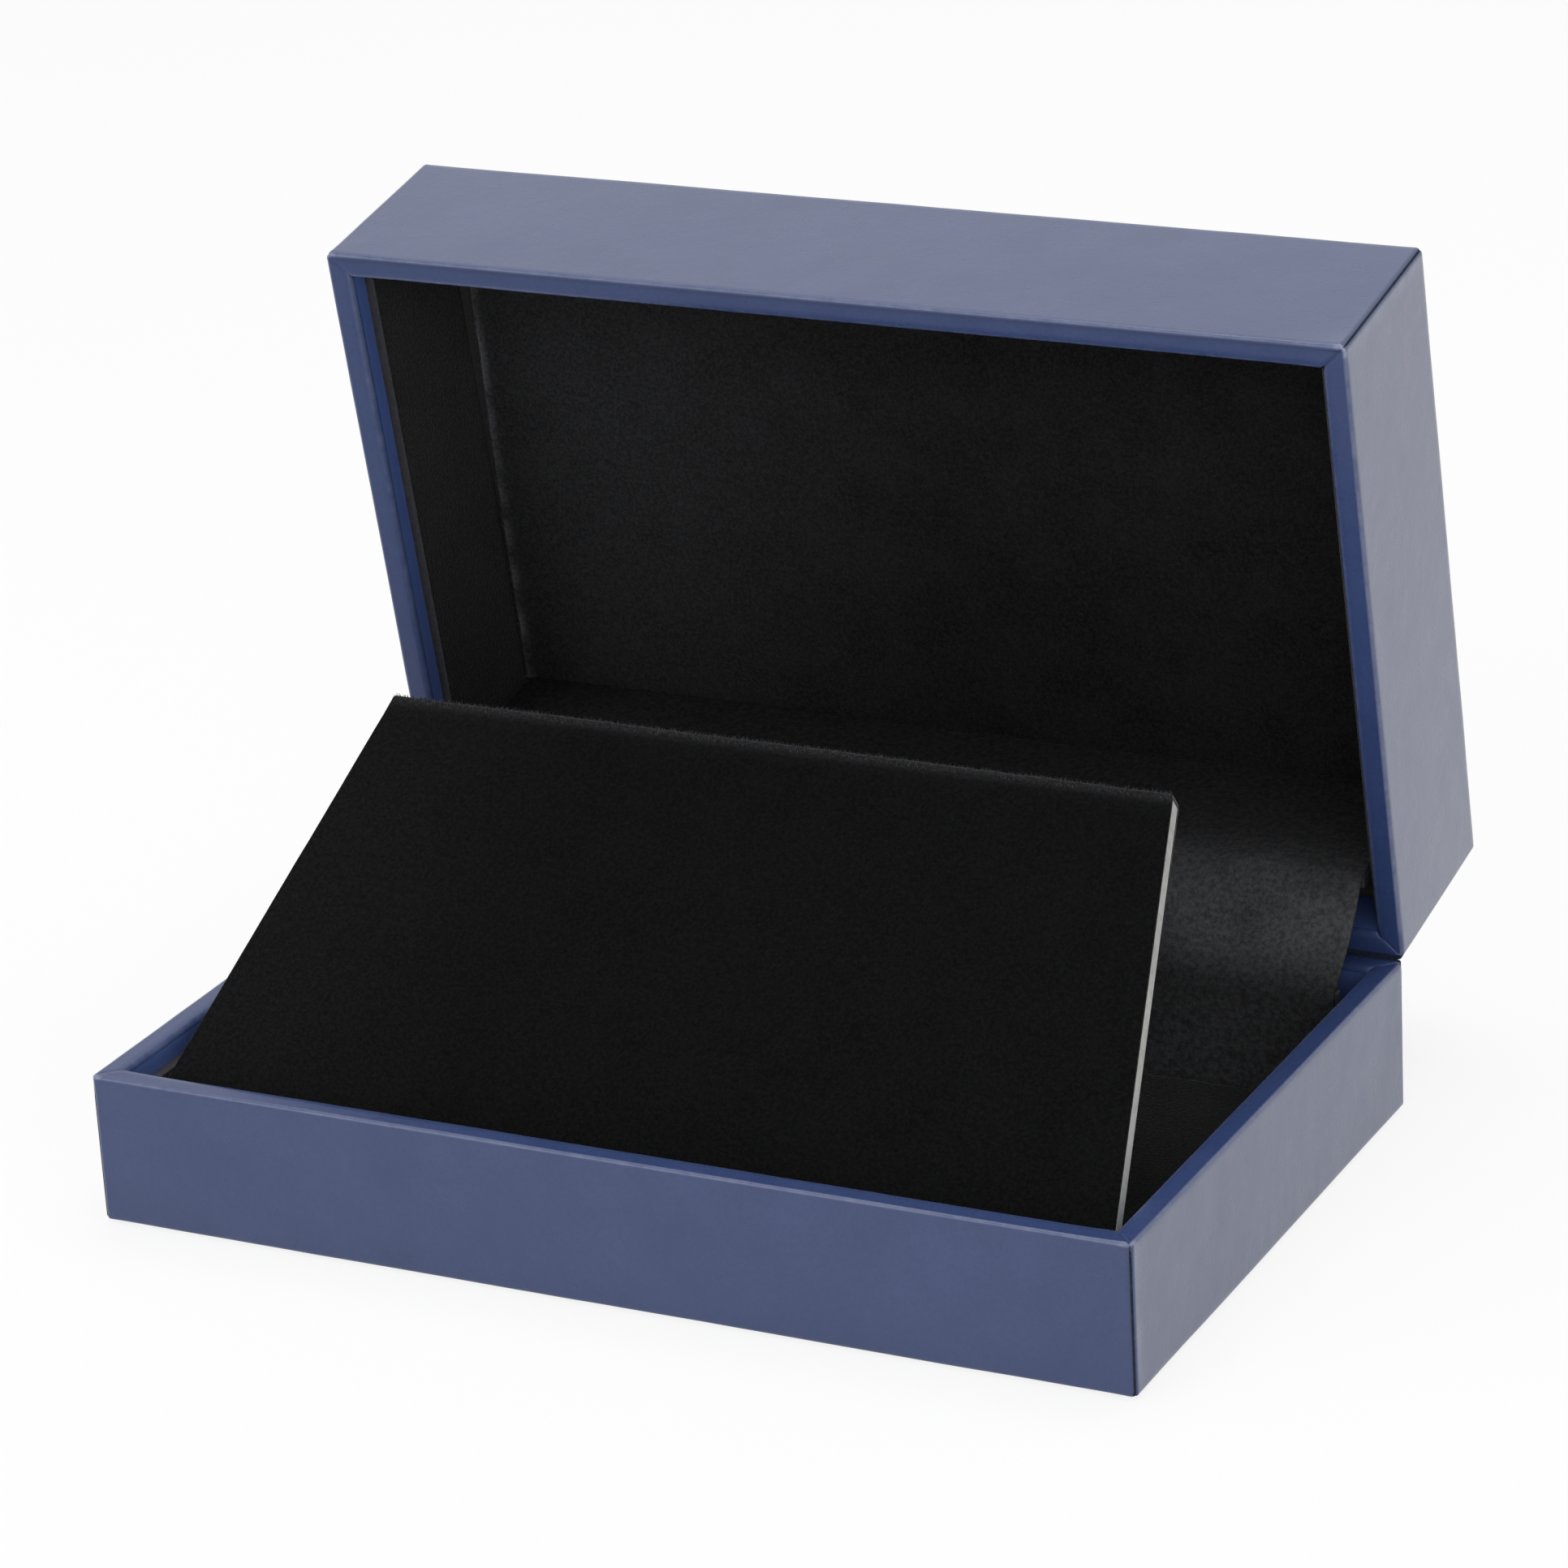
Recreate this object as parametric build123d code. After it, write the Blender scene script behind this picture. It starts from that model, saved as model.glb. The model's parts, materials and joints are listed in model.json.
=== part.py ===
from build123d import *
import os
from math import atan2, cos, hypot, radians, sin

# Pin display case: a shallow base, a hinged lid and an easel panel that the pins stand on.
# Millimetres. The origin is the centre of the underside, +X is right, -Y is the front, +Z is up.
# The case is shown open, as it stands on a table. Every sub-part is drawn in its closed or
# folded place first, and is then turned about its own hinge line to where it stands open.

# Overall sizes
case_width = 105.0
case_depth = 65.0
base_height = 15.0
lid_height = 20.0
rim_gap = 0.3               # between the two rims when the lid is shut
opening_angle = 79.5        # lid, from shut to its stop
panel_angle = 39.07         # panel, from flat to raised
leg_slope = 50.4            # leg, below the horizontal when it stands

# Thicknesses
shell_wall = 1.9            # stiff board of the two trays
wrap_thickness = 0.3        # leatherette glued round each tray
sheet_thickness = 0.3       # paper on the underside
card_thickness = 1.0        # flocked card on the inner walls
pad_board_thickness = 0.8   # board under the floor velvet and the ceiling velvet
velvet_thickness = 0.4
panel_board_thickness = 1.6
leg_thickness = 1.5
tape_thickness = 0.25

# Leatherette
outer_corner_radius = 0.6
outer_edge_radius = 0.35
turn_in_depth = 6.0         # how far the leatherette goes down the inner walls
underside_margin = 6.0      # how far it goes in over the underside
sheet_inset = 3.0           # from the edge of the case to the edge of the paper

# Linings
card_below_rim = 2.3        # leaves a band of leatherette in sight inside each rim
piece_gap = 0.1             # between two pieces that are glued in side by side
hinge_room = 8.3            # from the outer back face to the front of the hinge cover
shelf_edge_from_rim = 0.8   # lid shelf, behind the lid's rim plane
screen_below_rim = 0.6      # base screen, below the base's rim
cover_side_gap = 0.3
cover_sag = 0.9             # of the loose stretch of the hinge cover, towards the hinge

# Panel, anchor strip, leg and ribbon
panel_side_gap = 0.3        # from the panel's lower corners to the side cards
panel_end_gap = 5.4         # from the flat panel's top edge to the hinge cover
panel_taper = 8.3           # each side, from the lower edge to the top edge
pivot_from_card = 1.6       # panel's hinge line, behind the front card
pivot_below_rim = 5.67
panel_turn_under = 6.0      # velvet on the panel's back, below its top edge
anchor_below_pivot = 0.5
anchor_side_gap = 3.0
crease_tape_width = 6.0     # on each of the two boards that it joins
leg_from_pivot = 21.0
leg_top_width = 36.0
leg_foot_width = 24.0
leg_end_gap = 0.05
foot_clearance = 0.25
leg_tape_width = 5.0
ribbon_width = 10.0
ribbon_on_panel = 13.0      # from the leg's hinge line, up the panel's back
ribbon_on_leg = 13.0        # from the same line, down the leg

# Hinges
hinge_spacing = 54.0        # between the middles of the two hinges
leaf_thickness = 0.4
leaf_width = 12.0
leaf_height = 5.4
knuckle_radius = 1.1
pin_radius = 0.5
pin_clearance = 0.05
pin_head_radius = 0.85
pin_head_thickness = 0.3
knuckle_length = 3.0
knuckle_gap = 0.15
notch_side_gap = 0.3
notch_below_knuckle = 0.3
spring_thickness = 0.3
spring_width = 2.4
spring_tip_gap = 0.1
rivet_radius = 0.6
rivet_clearance = 0.05
rivet_head_radius = 1.1
rivet_head_thickness = 0.4
rivet_spacing = 7.6         # between the two upper rivets of a leaf
upper_rivet_drop = 1.6      # below the top of the leaf's plate
lower_rivet_drop = 4.0

# Worked out from the sizes above
wall = shell_wall + 2 * wrap_thickness
axis_y = case_depth / 2
axis_z = base_height + rim_gap / 2
lid_rim_z = base_height + rim_gap
lid_top_z = lid_rim_z + lid_height
shell_floor_bottom = sheet_thickness + wrap_thickness
shell_floor_top = shell_floor_bottom + shell_wall
floor_top = shell_floor_top + pad_board_thickness + velvet_thickness
lid_ceiling = lid_top_z - wrap_thickness - shell_wall
ceiling_face = lid_ceiling - pad_board_thickness - velvet_thickness
inner_half_width = case_width / 2 - wall
inner_half_depth = case_depth / 2 - wall
card_half_width = inner_half_width - card_thickness
card_front_y = -inner_half_depth + card_thickness
cover_y = axis_y - hinge_room
cover_half_width = card_half_width - cover_side_gap
screen_y = cover_y + velvet_thickness
screen_top = base_height - screen_below_rim
shelf_bottom = lid_rim_z + shelf_edge_from_rim
pivot_y = card_front_y + pivot_from_card
pivot_z = base_height - pivot_below_rim
panel_thickness = panel_board_thickness + velvet_thickness
panel_length = cover_y - panel_end_gap - pivot_y
leg_axis_y = pivot_y + leg_from_pivot
leg_axis_z = pivot_z - tape_thickness
leg_swing = panel_angle + leg_slope
hinge_places = {"left": -hinge_spacing / 2, "right": hinge_spacing / 2}


def block(x_low, x_high, y_low, y_high, z_low, z_high):
    """A box between six planes."""
    middle = ((x_low + x_high) / 2, (y_low + y_high) / 2, (z_low + z_high) / 2)
    return Pos(*middle) * Box(x_high - x_low, y_high - y_low, z_high - z_low)


def centred_block(width, depth, z_low, z_high):
    return block(-width / 2, width / 2, -depth / 2, depth / 2, z_low, z_high)


def prism(outline, half_width, centre_x=0.0):
    """A length of one side-view outline, given as (y, z) points."""
    face = Plane.YZ * make_face(Polyline(*outline, close=True))
    return Pos(centre_x, 0, 0) * extrude(face, half_width, both=True)


def rod(radius, x_low, x_high, y, z):
    """A round bar along X."""
    return Pos((x_low + x_high) / 2, y, z) * Rot(0, 90, 0) * Cylinder(radius, x_high - x_low)


def plug(radius, y_low, y_high, x, z):
    """A round bar along Y."""
    return Pos(x, (y_low + y_high) / 2, z) * Rot(90, 0, 0) * Cylinder(radius, y_high - y_low)


# Hinge lines, and the turns that bring the moving parts from closed or folded to open
lid_axis = Axis((0, axis_y, axis_z), (1, 0, 0))
panel_axis = Axis((0, pivot_y, pivot_z), (1, 0, 0))
leg_axis = Axis((0, leg_axis_y, leg_axis_z), (1, 0, 0))


def open_lid(shape):
    return shape.rotate(lid_axis, -opening_angle)


def raise_panel(shape):
    return shape.rotate(panel_axis, panel_angle)


def stand_leg(shape):
    return raise_panel(shape.rotate(leg_axis, -leg_swing))


def turned(point, centre, degrees_up):
    """A side-view (y, z) point turned about a centre, positive from +Y towards +Z."""
    y = point[0] - centre[0]
    z = point[1] - centre[1]
    c = cos(radians(degrees_up))
    s = sin(radians(degrees_up))
    return (centre[0] + y * c - z * s, centre[1] + y * s + z * c)


def on_open_lid(y, z):
    return turned((y, z), (axis_y, axis_z), -opening_angle)


def on_raised_panel(y, z):
    return turned((y, z), (pivot_y, pivot_z), panel_angle)


def on_standing_leg(y, z):
    swung = turned((y, z), (leg_axis_y, leg_axis_z), -leg_swing)
    return on_raised_panel(*swung)


def crossing(first, second, third, fourth):
    """Where the line through two side-view points meets the line through two others."""
    a = (second[0] - first[0], second[1] - first[1])
    b = (fourth[0] - third[0], fourth[1] - third[1])
    c = (third[0] - first[0], third[1] - first[1])
    share = (c[0] * b[1] - c[1] * b[0]) / (a[0] * b[1] - a[1] * b[0])
    return (first[0] + share * a[0], first[1] + share * a[1])


def mirrored_over_rims(shape):
    """A base piece's twin in the shut lid, on the other side of the plane between the rims."""
    return shape.mirror(Plane((0, 0, axis_z), z_dir=(0, 0, 1)))


# Openings that the hinges need in the trays and in their leatherette
def hinge_cuts():
    half = knuckle_length * 1.5 + knuckle_gap + pin_head_thickness + notch_side_gap
    bottom = axis_z - knuckle_radius - notch_below_knuckle
    cuts = []
    for x in hinge_places.values():
        cuts.append(block(x - half, x + half, inner_half_depth - 1, axis_y + 1, bottom, axis_z))
        for rivet_x, rivet_z in rivet_places(x):
            radius = rivet_radius + rivet_clearance
            cuts.append(plug(radius, inner_half_depth - 1, axis_y - wrap_thickness, rivet_x, rivet_z))
    return cuts


def leaf_top():
    return axis_z - knuckle_radius + leaf_thickness


def rivet_places(x):
    upper = leaf_top() - upper_rivet_drop
    lower = leaf_top() - lower_rivet_drop
    return [(x - rivet_spacing / 2, upper), (x + rivet_spacing / 2, upper), (x, lower)]


# The two trays: stiff board with leatherette glued round it
def tray_solid():
    """The base tray's outside, solid."""
    width = case_width - 2 * wrap_thickness
    depth = case_depth - 2 * wrap_thickness
    solid = centred_block(width, depth, shell_floor_bottom, base_height - wrap_thickness)
    return fillet(solid.edges().filter_by(Axis.Z), outer_corner_radius - wrap_thickness)


def base_shell():
    width = 2 * inner_half_width + 2 * wrap_thickness
    depth = 2 * inner_half_depth + 2 * wrap_thickness
    shell = tray_solid() - centred_block(width, depth, shell_floor_top, base_height)
    return shell - hinge_cuts()


def base_wrap():
    skin = centred_block(case_width, case_depth, sheet_thickness, base_height)
    skin = fillet(skin.edges().filter_by(Axis.Z), outer_corner_radius)
    skin = fillet(skin.edges().group_by(Axis.Z)[0], outer_edge_radius)
    skin = fillet(skin.edges().group_by(Axis.Z)[-1], outer_edge_radius)
    skin -= tray_solid()
    turn_in_end = base_height - turn_in_depth
    skin -= centred_block(2 * inner_half_width, 2 * inner_half_depth, shell_floor_top, base_height + 1)
    behind_width = 2 * inner_half_width + 2 * wrap_thickness
    behind_depth = 2 * inner_half_depth + 2 * wrap_thickness
    skin -= centred_block(behind_width, behind_depth, shell_floor_top, turn_in_end)
    margin_width = case_width - 2 * underside_margin
    margin_depth = case_depth - 2 * underside_margin
    skin -= centred_block(margin_width, margin_depth, 0, shell_floor_bottom)
    turn_in = centred_block(behind_width, behind_depth, turn_in_end, base_height - wrap_thickness)
    turn_in -= centred_block(2 * inner_half_width, 2 * inner_half_depth, 0, base_height)
    return skin + turn_in - hinge_cuts()


def base_underside_sheet():
    width = case_width - 2 * sheet_inset
    depth = case_depth - 2 * sheet_inset
    return centred_block(width, depth, 0, sheet_thickness)


def lid_cuts():
    return [mirrored_over_rims(cut) for cut in hinge_cuts()]


def lid_solid():
    width = case_width - 2 * wrap_thickness
    depth = case_depth - 2 * wrap_thickness
    solid = centred_block(width, depth, lid_rim_z + wrap_thickness, lid_top_z - wrap_thickness)
    return fillet(solid.edges().filter_by(Axis.Z), outer_corner_radius - wrap_thickness)


def lid_shell():
    width = 2 * inner_half_width + 2 * wrap_thickness
    depth = 2 * inner_half_depth + 2 * wrap_thickness
    shell = lid_solid() - centred_block(width, depth, lid_rim_z, lid_ceiling)
    return open_lid(shell - lid_cuts())


def lid_wrap():
    skin = centred_block(case_width, case_depth, lid_rim_z, lid_top_z)
    skin = fillet(skin.edges().filter_by(Axis.Z), outer_corner_radius)
    skin = fillet(skin.edges().group_by(Axis.Z)[0], outer_edge_radius)
    skin = fillet(skin.edges().group_by(Axis.Z)[-1], outer_edge_radius)
    skin -= lid_solid()
    behind_width = 2 * inner_half_width + 2 * wrap_thickness
    behind_depth = 2 * inner_half_depth + 2 * wrap_thickness
    turn_in_end = lid_rim_z + turn_in_depth
    skin -= centred_block(2 * inner_half_width, 2 * inner_half_depth, lid_rim_z - 1, lid_ceiling)
    skin -= centred_block(behind_width, behind_depth, turn_in_end, lid_ceiling)
    turn_in = centred_block(behind_width, behind_depth, lid_rim_z + wrap_thickness, turn_in_end)
    turn_in -= centred_block(2 * inner_half_width, 2 * inner_half_depth, lid_rim_z, lid_top_z)
    return open_lid(skin + turn_in - lid_cuts())


# Linings of the base
def base_front_card():
    top = base_height - card_below_rim
    half = inner_half_width
    return block(-half, half, -inner_half_depth, card_front_y, shell_floor_top, top)


def base_side_card(side):
    top = base_height - card_below_rim
    near = card_front_y + piece_gap
    far = inner_half_depth - leaf_thickness - rivet_head_thickness
    low = min(side * card_half_width, side * inner_half_width)
    high = max(side * card_half_width, side * inner_half_width)
    return block(low, high, near, far, shell_floor_top, top)


def floor_block(z_low, z_high, gap):
    half = card_half_width - gap
    return block(-half, half, card_front_y + gap, cover_y - gap, z_low, z_high)


def base_floor_board():
    return floor_block(shell_floor_top, shell_floor_top + pad_board_thickness, piece_gap)


def base_floor_velvet():
    return floor_block(shell_floor_top + pad_board_thickness, floor_top, piece_gap)


def hinge_screen():
    """Board in the base, between the side cards, that hides the hinges."""
    half = card_half_width - piece_gap
    return block(-half, half, screen_y, screen_y + card_thickness, shell_floor_top, screen_top)


# Linings of the lid
def lid_front_card():
    bottom = lid_rim_z + card_below_rim
    half = inner_half_width
    return open_lid(block(-half, half, -inner_half_depth, card_front_y, bottom, lid_ceiling))


def lid_side_card(side):
    bottom = lid_rim_z + card_below_rim
    near = card_front_y + piece_gap
    far = inner_half_depth - leaf_thickness - rivet_head_thickness
    low = min(side * card_half_width, side * inner_half_width)
    high = max(side * card_half_width, side * inner_half_width)
    return open_lid(block(low, high, near, far, bottom, lid_ceiling))


def ceiling_block(z_low, z_high):
    half = card_half_width - piece_gap
    near = card_front_y + piece_gap
    return open_lid(block(-half, half, near, cover_y - piece_gap, z_low, z_high))


def lid_ceiling_board():
    return ceiling_block(lid_ceiling - pad_board_thickness, lid_ceiling)


def lid_ceiling_velvet():
    return ceiling_block(ceiling_face, lid_ceiling - pad_board_thickness)


def hinge_shelf():
    """Board in the lid, in line with the base's screen when the lid is shut."""
    half = card_half_width - piece_gap
    return open_lid(block(-half, half, screen_y, screen_y + card_thickness, shelf_bottom, lid_ceiling))


def hinge_cover():
    """One velvet strip down the lid's shelf, over the hinges and down the base's screen."""
    faces = []
    for depth in (0.0, velvet_thickness):
        top = on_open_lid(cover_y + depth, lid_ceiling)
        shelf_edge = on_open_lid(cover_y + depth, shelf_bottom)
        screen_edge = (cover_y + depth, screen_top)
        foot = (cover_y + depth, shell_floor_top)
        run = (screen_edge[0] - shelf_edge[0], screen_edge[1] - shelf_edge[1])
        length = hypot(*run)
        middle = (
            (shelf_edge[0] + screen_edge[0]) / 2 - run[1] / length * cover_sag,
            (shelf_edge[1] + screen_edge[1]) / 2 + run[0] / length * cover_sag,
        )
        faces.append([top, shelf_edge, middle, screen_edge, foot])
    front, back = faces
    edges = [
        Line(front[0], front[1]),
        ThreePointArc(front[1], front[2], front[3]),
        Line(front[3], front[4]),
        Line(front[4], back[4]),
        Line(back[4], back[3]),
        ThreePointArc(back[3], back[2], back[1]),
        Line(back[1], back[0]),
        Line(back[0], front[0]),
    ]
    face = Plane.YZ * make_face(edges)
    return extrude(face, cover_half_width, both=True)


# Panel, with its crease at the front of the base
def panel_outline(half_low, y_low, y_high):
    """Half-widths follow the taper, from the hinge line to the top edge."""
    def half(y):
        return half_low - panel_taper * (y - pivot_y) / panel_length
    return [(-half(y_low), y_low), (half(y_low), y_low), (half(y_high), y_high), (-half(y_high), y_high)]


def panel_plate(y_low, y_high, z_low, z_high):
    half_low = card_half_width - panel_side_gap
    outline = panel_outline(half_low, y_low, y_high)
    face = Plane((0, 0, z_low)) * make_face(Polyline(*outline, close=True))
    return extrude(face, z_high - z_low)


def panel_board():
    end = pivot_y + panel_length - velvet_thickness
    plate = panel_plate(pivot_y, end, pivot_z, pivot_z + panel_board_thickness)
    return raise_panel(plate)


def panel_velvet():
    """Over the front of the board, round its top edge and a little way down its back."""
    end = pivot_y + panel_length
    board_top = pivot_z + panel_board_thickness
    face = panel_plate(pivot_y, end, board_top, board_top + velvet_thickness)
    edge = panel_plate(end - velvet_thickness, end, pivot_z - velvet_thickness, board_top)
    back = panel_plate(end - panel_turn_under, end - velvet_thickness, pivot_z - velvet_thickness, pivot_z)
    return raise_panel(face + edge + back)


def panel_anchor_strip():
    """Board glued to the front card, that the panel's crease tape is fixed to."""
    half = card_half_width - anchor_side_gap
    back = card_front_y + card_thickness
    return block(-half, half, card_front_y, back, floor_top, pivot_z - anchor_below_pivot)


def panel_crease_tape():
    """Cloth tape down the anchor strip and up the panel's back, bent at the hinge line."""
    anchor_face = card_front_y + card_thickness
    tape_face = anchor_face + tape_thickness
    foot = max(floor_top, pivot_z - anchor_below_pivot - crease_tape_width)
    panel_end = on_raised_panel(pivot_y + crease_tape_width, pivot_z)
    panel_end_under = on_raised_panel(pivot_y + crease_tape_width, pivot_z - tape_thickness)
    pivot = (pivot_y, pivot_z)
    pivot_under = on_raised_panel(pivot_y, pivot_z - tape_thickness)
    outer_corner = crossing(panel_end, pivot, (anchor_face, 0), (anchor_face, 1))
    inner_corner = crossing(panel_end_under, pivot_under, (tape_face, 0), (tape_face, 1))
    outline = [
        (anchor_face, foot),
        outer_corner,
        panel_end,
        panel_end_under,
        inner_corner,
        (tape_face, foot),
    ]
    return prism(outline, card_half_width - anchor_side_gap)


# Leg behind the panel, folded flat against it and pointing back before it is stood up
def leg_length():
    """From its hinge line to its foot, which stands just clear of the floor velvet."""
    axis_height = on_raised_panel(leg_axis_y, leg_axis_z)[1]
    front_drop = (tape_thickness + leg_thickness) * cos(radians(leg_slope))
    return (axis_height - floor_top - foot_clearance - front_drop) / sin(radians(leg_slope))


def support_leg():
    top = leg_axis_z - tape_thickness
    near = leg_axis_y + leg_end_gap
    far = leg_axis_y + leg_length()
    outline = [
        (-leg_top_width / 2, near),
        (leg_top_width / 2, near),
        (leg_foot_width / 2, far),
        (-leg_foot_width / 2, far),
    ]
    face = Plane((0, 0, top - leg_thickness)) * make_face(Polyline(*outline, close=True))
    return stand_leg(extrude(face, leg_thickness))


def leg_hinge_tape():
    """Cloth tape on the panel's back, and down the back of the leg."""
    far_on_panel = on_raised_panel(leg_axis_y - leg_tape_width, pivot_z)
    far_under = on_raised_panel(leg_axis_y - leg_tape_width, pivot_z - tape_thickness)
    axis = on_raised_panel(leg_axis_y, leg_axis_z)
    axis_above = on_raised_panel(leg_axis_y, pivot_z)
    leg_end = on_standing_leg(leg_axis_y + leg_tape_width, leg_axis_z)
    leg_end_inner = on_standing_leg(leg_axis_y + leg_tape_width, leg_axis_z - tape_thickness)
    inner = on_standing_leg(leg_axis_y, leg_axis_z - tape_thickness)
    outline = [far_on_panel, axis_above, axis, leg_end, leg_end_inner, inner, far_under]
    return prism(outline, leg_foot_width / 2)


def leg_ribbon():
    """Ribbon from the panel's back to the leg, tight when the leg stands, so that it opens no further."""
    leg_face = leg_axis_z - tape_thickness
    panel_hinge = on_raised_panel(leg_axis_y, pivot_z)
    on_panel = on_raised_panel(leg_axis_y + ribbon_on_panel, pivot_z)
    on_leg = on_standing_leg(leg_axis_y + ribbon_on_leg, leg_face)
    leg_start = on_standing_leg(leg_axis_y, leg_face)
    slope = atan2(on_leg[1] - on_panel[1], on_leg[0] - on_panel[0])
    shift = (-sin(slope) * tape_thickness, cos(slope) * tape_thickness)
    panel_outer = (on_panel[0] + shift[0], on_panel[1] + shift[1])
    leg_outer = (on_leg[0] + shift[0], on_leg[1] + shift[1])
    outer_on_panel = crossing(panel_outer, leg_outer, panel_hinge, on_panel)
    outer_on_leg = crossing(panel_outer, leg_outer, leg_start, on_leg)
    return prism([on_panel, on_leg, outer_on_leg, outer_on_panel], ribbon_width / 2)


# Hinges, drawn for the base; the lid's leaf is the base's turned over, with the middle knuckle
def leaf_plate(x):
    half = leaf_width / 2
    low = leaf_top() - leaf_height
    return block(x - half, x + half, inner_half_depth - leaf_thickness, inner_half_depth, low, leaf_top())


def knuckle(x_low, x_high):
    """Tab over the wall, the knuckle at its end, and the bore for the pin."""
    tab_bottom = axis_z - knuckle_radius
    tab = block(x_low, x_high, inner_half_depth - leaf_thickness, axis_y, tab_bottom, leaf_top())
    barrel = rod(knuckle_radius, x_low, x_high, axis_y, axis_z)
    bore = rod(pin_radius + pin_clearance, x_low - 1, x_high + 1, axis_y, axis_z)
    return tab + barrel - bore


def rivet_holes(x):
    radius = rivet_radius + rivet_clearance
    low = inner_half_depth - leaf_thickness - spring_thickness - 1
    return [plug(radius, low, axis_y, place_x, place_z) for place_x, place_z in rivet_places(x)]


def hinge_base_leaf(x):
    near = knuckle_length / 2 + knuckle_gap
    far = near + knuckle_length
    leaf = leaf_plate(x) + knuckle(x + near, x + far) + knuckle(x - far, x - near)
    return leaf - rivet_holes(x)


def hinge_lid_leaf(x):
    half = knuckle_length / 2
    leaf = leaf_plate(x) + knuckle(x - half, x + half) - rivet_holes(x)
    return open_lid(mirrored_over_rims(leaf))


def hinge_pin(x):
    half = knuckle_length * 1.5 + knuckle_gap + pin_clearance
    pin = rod(pin_radius, x - half, x + half, axis_y, axis_z)
    for side in (-1, 1):
        inner = x + side * half
        outer = x + side * (half + pin_head_thickness)
        pin += rod(pin_head_radius, min(inner, outer), max(inner, outer), axis_y, axis_z)
    return pin


def hinge_snap_spring(x):
    """Flat spring on the base leaf, whose bent tip bears on the lid's knuckle."""
    back = inner_half_depth - leaf_thickness
    front = back - spring_thickness
    low = leaf_top() - leaf_height
    tip = axis_y - knuckle_radius - spring_tip_gap
    outline = [
        (front, low),
        (back, low),
        (back, axis_z - spring_thickness),
        (tip, axis_z - spring_thickness),
        (tip, axis_z),
        (front, axis_z),
    ]
    return prism(outline, spring_width / 2, x) - rivet_holes(x)


def rivet(x, z, seat_y):
    """Head on the inner side, shank through to the outer leatherette."""
    head = plug(rivet_head_radius, seat_y - rivet_head_thickness, seat_y, x, z)
    return head + plug(rivet_radius, seat_y, axis_y - wrap_thickness, x, z)


def leaf_rivets(with_spring):
    """Three for each of the two hinges; the lower one of the base also holds the spring."""
    leaf_face = inner_half_depth - leaf_thickness
    rivets = []
    for x in hinge_places.values():
        upper_left, upper_right, lower = rivet_places(x)
        lower_seat = leaf_face - spring_thickness if with_spring else leaf_face
        rivets.append(rivet(*upper_left, leaf_face))
        rivets.append(rivet(*upper_right, leaf_face))
        rivets.append(rivet(*lower, lower_seat))
    return rivets


def hinge_base_rivets():
    return Compound(children=leaf_rivets(with_spring=True))


def hinge_lid_rivets():
    return Compound(children=[open_lid(mirrored_over_rims(r)) for r in leaf_rivets(with_spring=False)])


def pieces():
    """Every sub-part under its own name."""
    named = {
        "base_shell": base_shell(),
        "base_wrap": base_wrap(),
        "base_underside_sheet": base_underside_sheet(),
        "base_front_card": base_front_card(),
        "base_left_card": base_side_card(-1),
        "base_right_card": base_side_card(1),
        "base_floor_board": base_floor_board(),
        "base_floor_velvet": base_floor_velvet(),
        "hinge_screen": hinge_screen(),
        "hinge_shelf": hinge_shelf(),
        "hinge_cover": hinge_cover(),
        "hinge_base_rivets": hinge_base_rivets(),
        "hinge_lid_rivets": hinge_lid_rivets(),
        "lid_shell": lid_shell(),
        "lid_wrap": lid_wrap(),
        "lid_front_card": lid_front_card(),
        "lid_left_card": lid_side_card(-1),
        "lid_right_card": lid_side_card(1),
        "lid_ceiling_board": lid_ceiling_board(),
        "lid_ceiling_velvet": lid_ceiling_velvet(),
        "panel_board": panel_board(),
        "panel_velvet": panel_velvet(),
        "panel_anchor_strip": panel_anchor_strip(),
        "panel_crease_tape": panel_crease_tape(),
        "support_leg": support_leg(),
        "leg_hinge_tape": leg_hinge_tape(),
        "leg_ribbon": leg_ribbon(),
    }
    for side, x in hinge_places.items():
        named[f"{side}_hinge_base_leaf"] = hinge_base_leaf(x)
        named[f"{side}_hinge_lid_leaf"] = hinge_lid_leaf(x)
        named[f"{side}_hinge_pin"] = hinge_pin(x)
        named[f"{side}_hinge_snap_spring"] = hinge_snap_spring(x)
    return named


os.makedirs("parts", exist_ok=True)
for node, shape in pieces().items():
    export_step(shape, f"parts/{node}.step")
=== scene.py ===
import json
import random
from math import acos, cos, pi, radians, sin, tan

import bmesh
import bpy
import numpy as np
from mathutils import Matrix, Vector, noise

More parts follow.
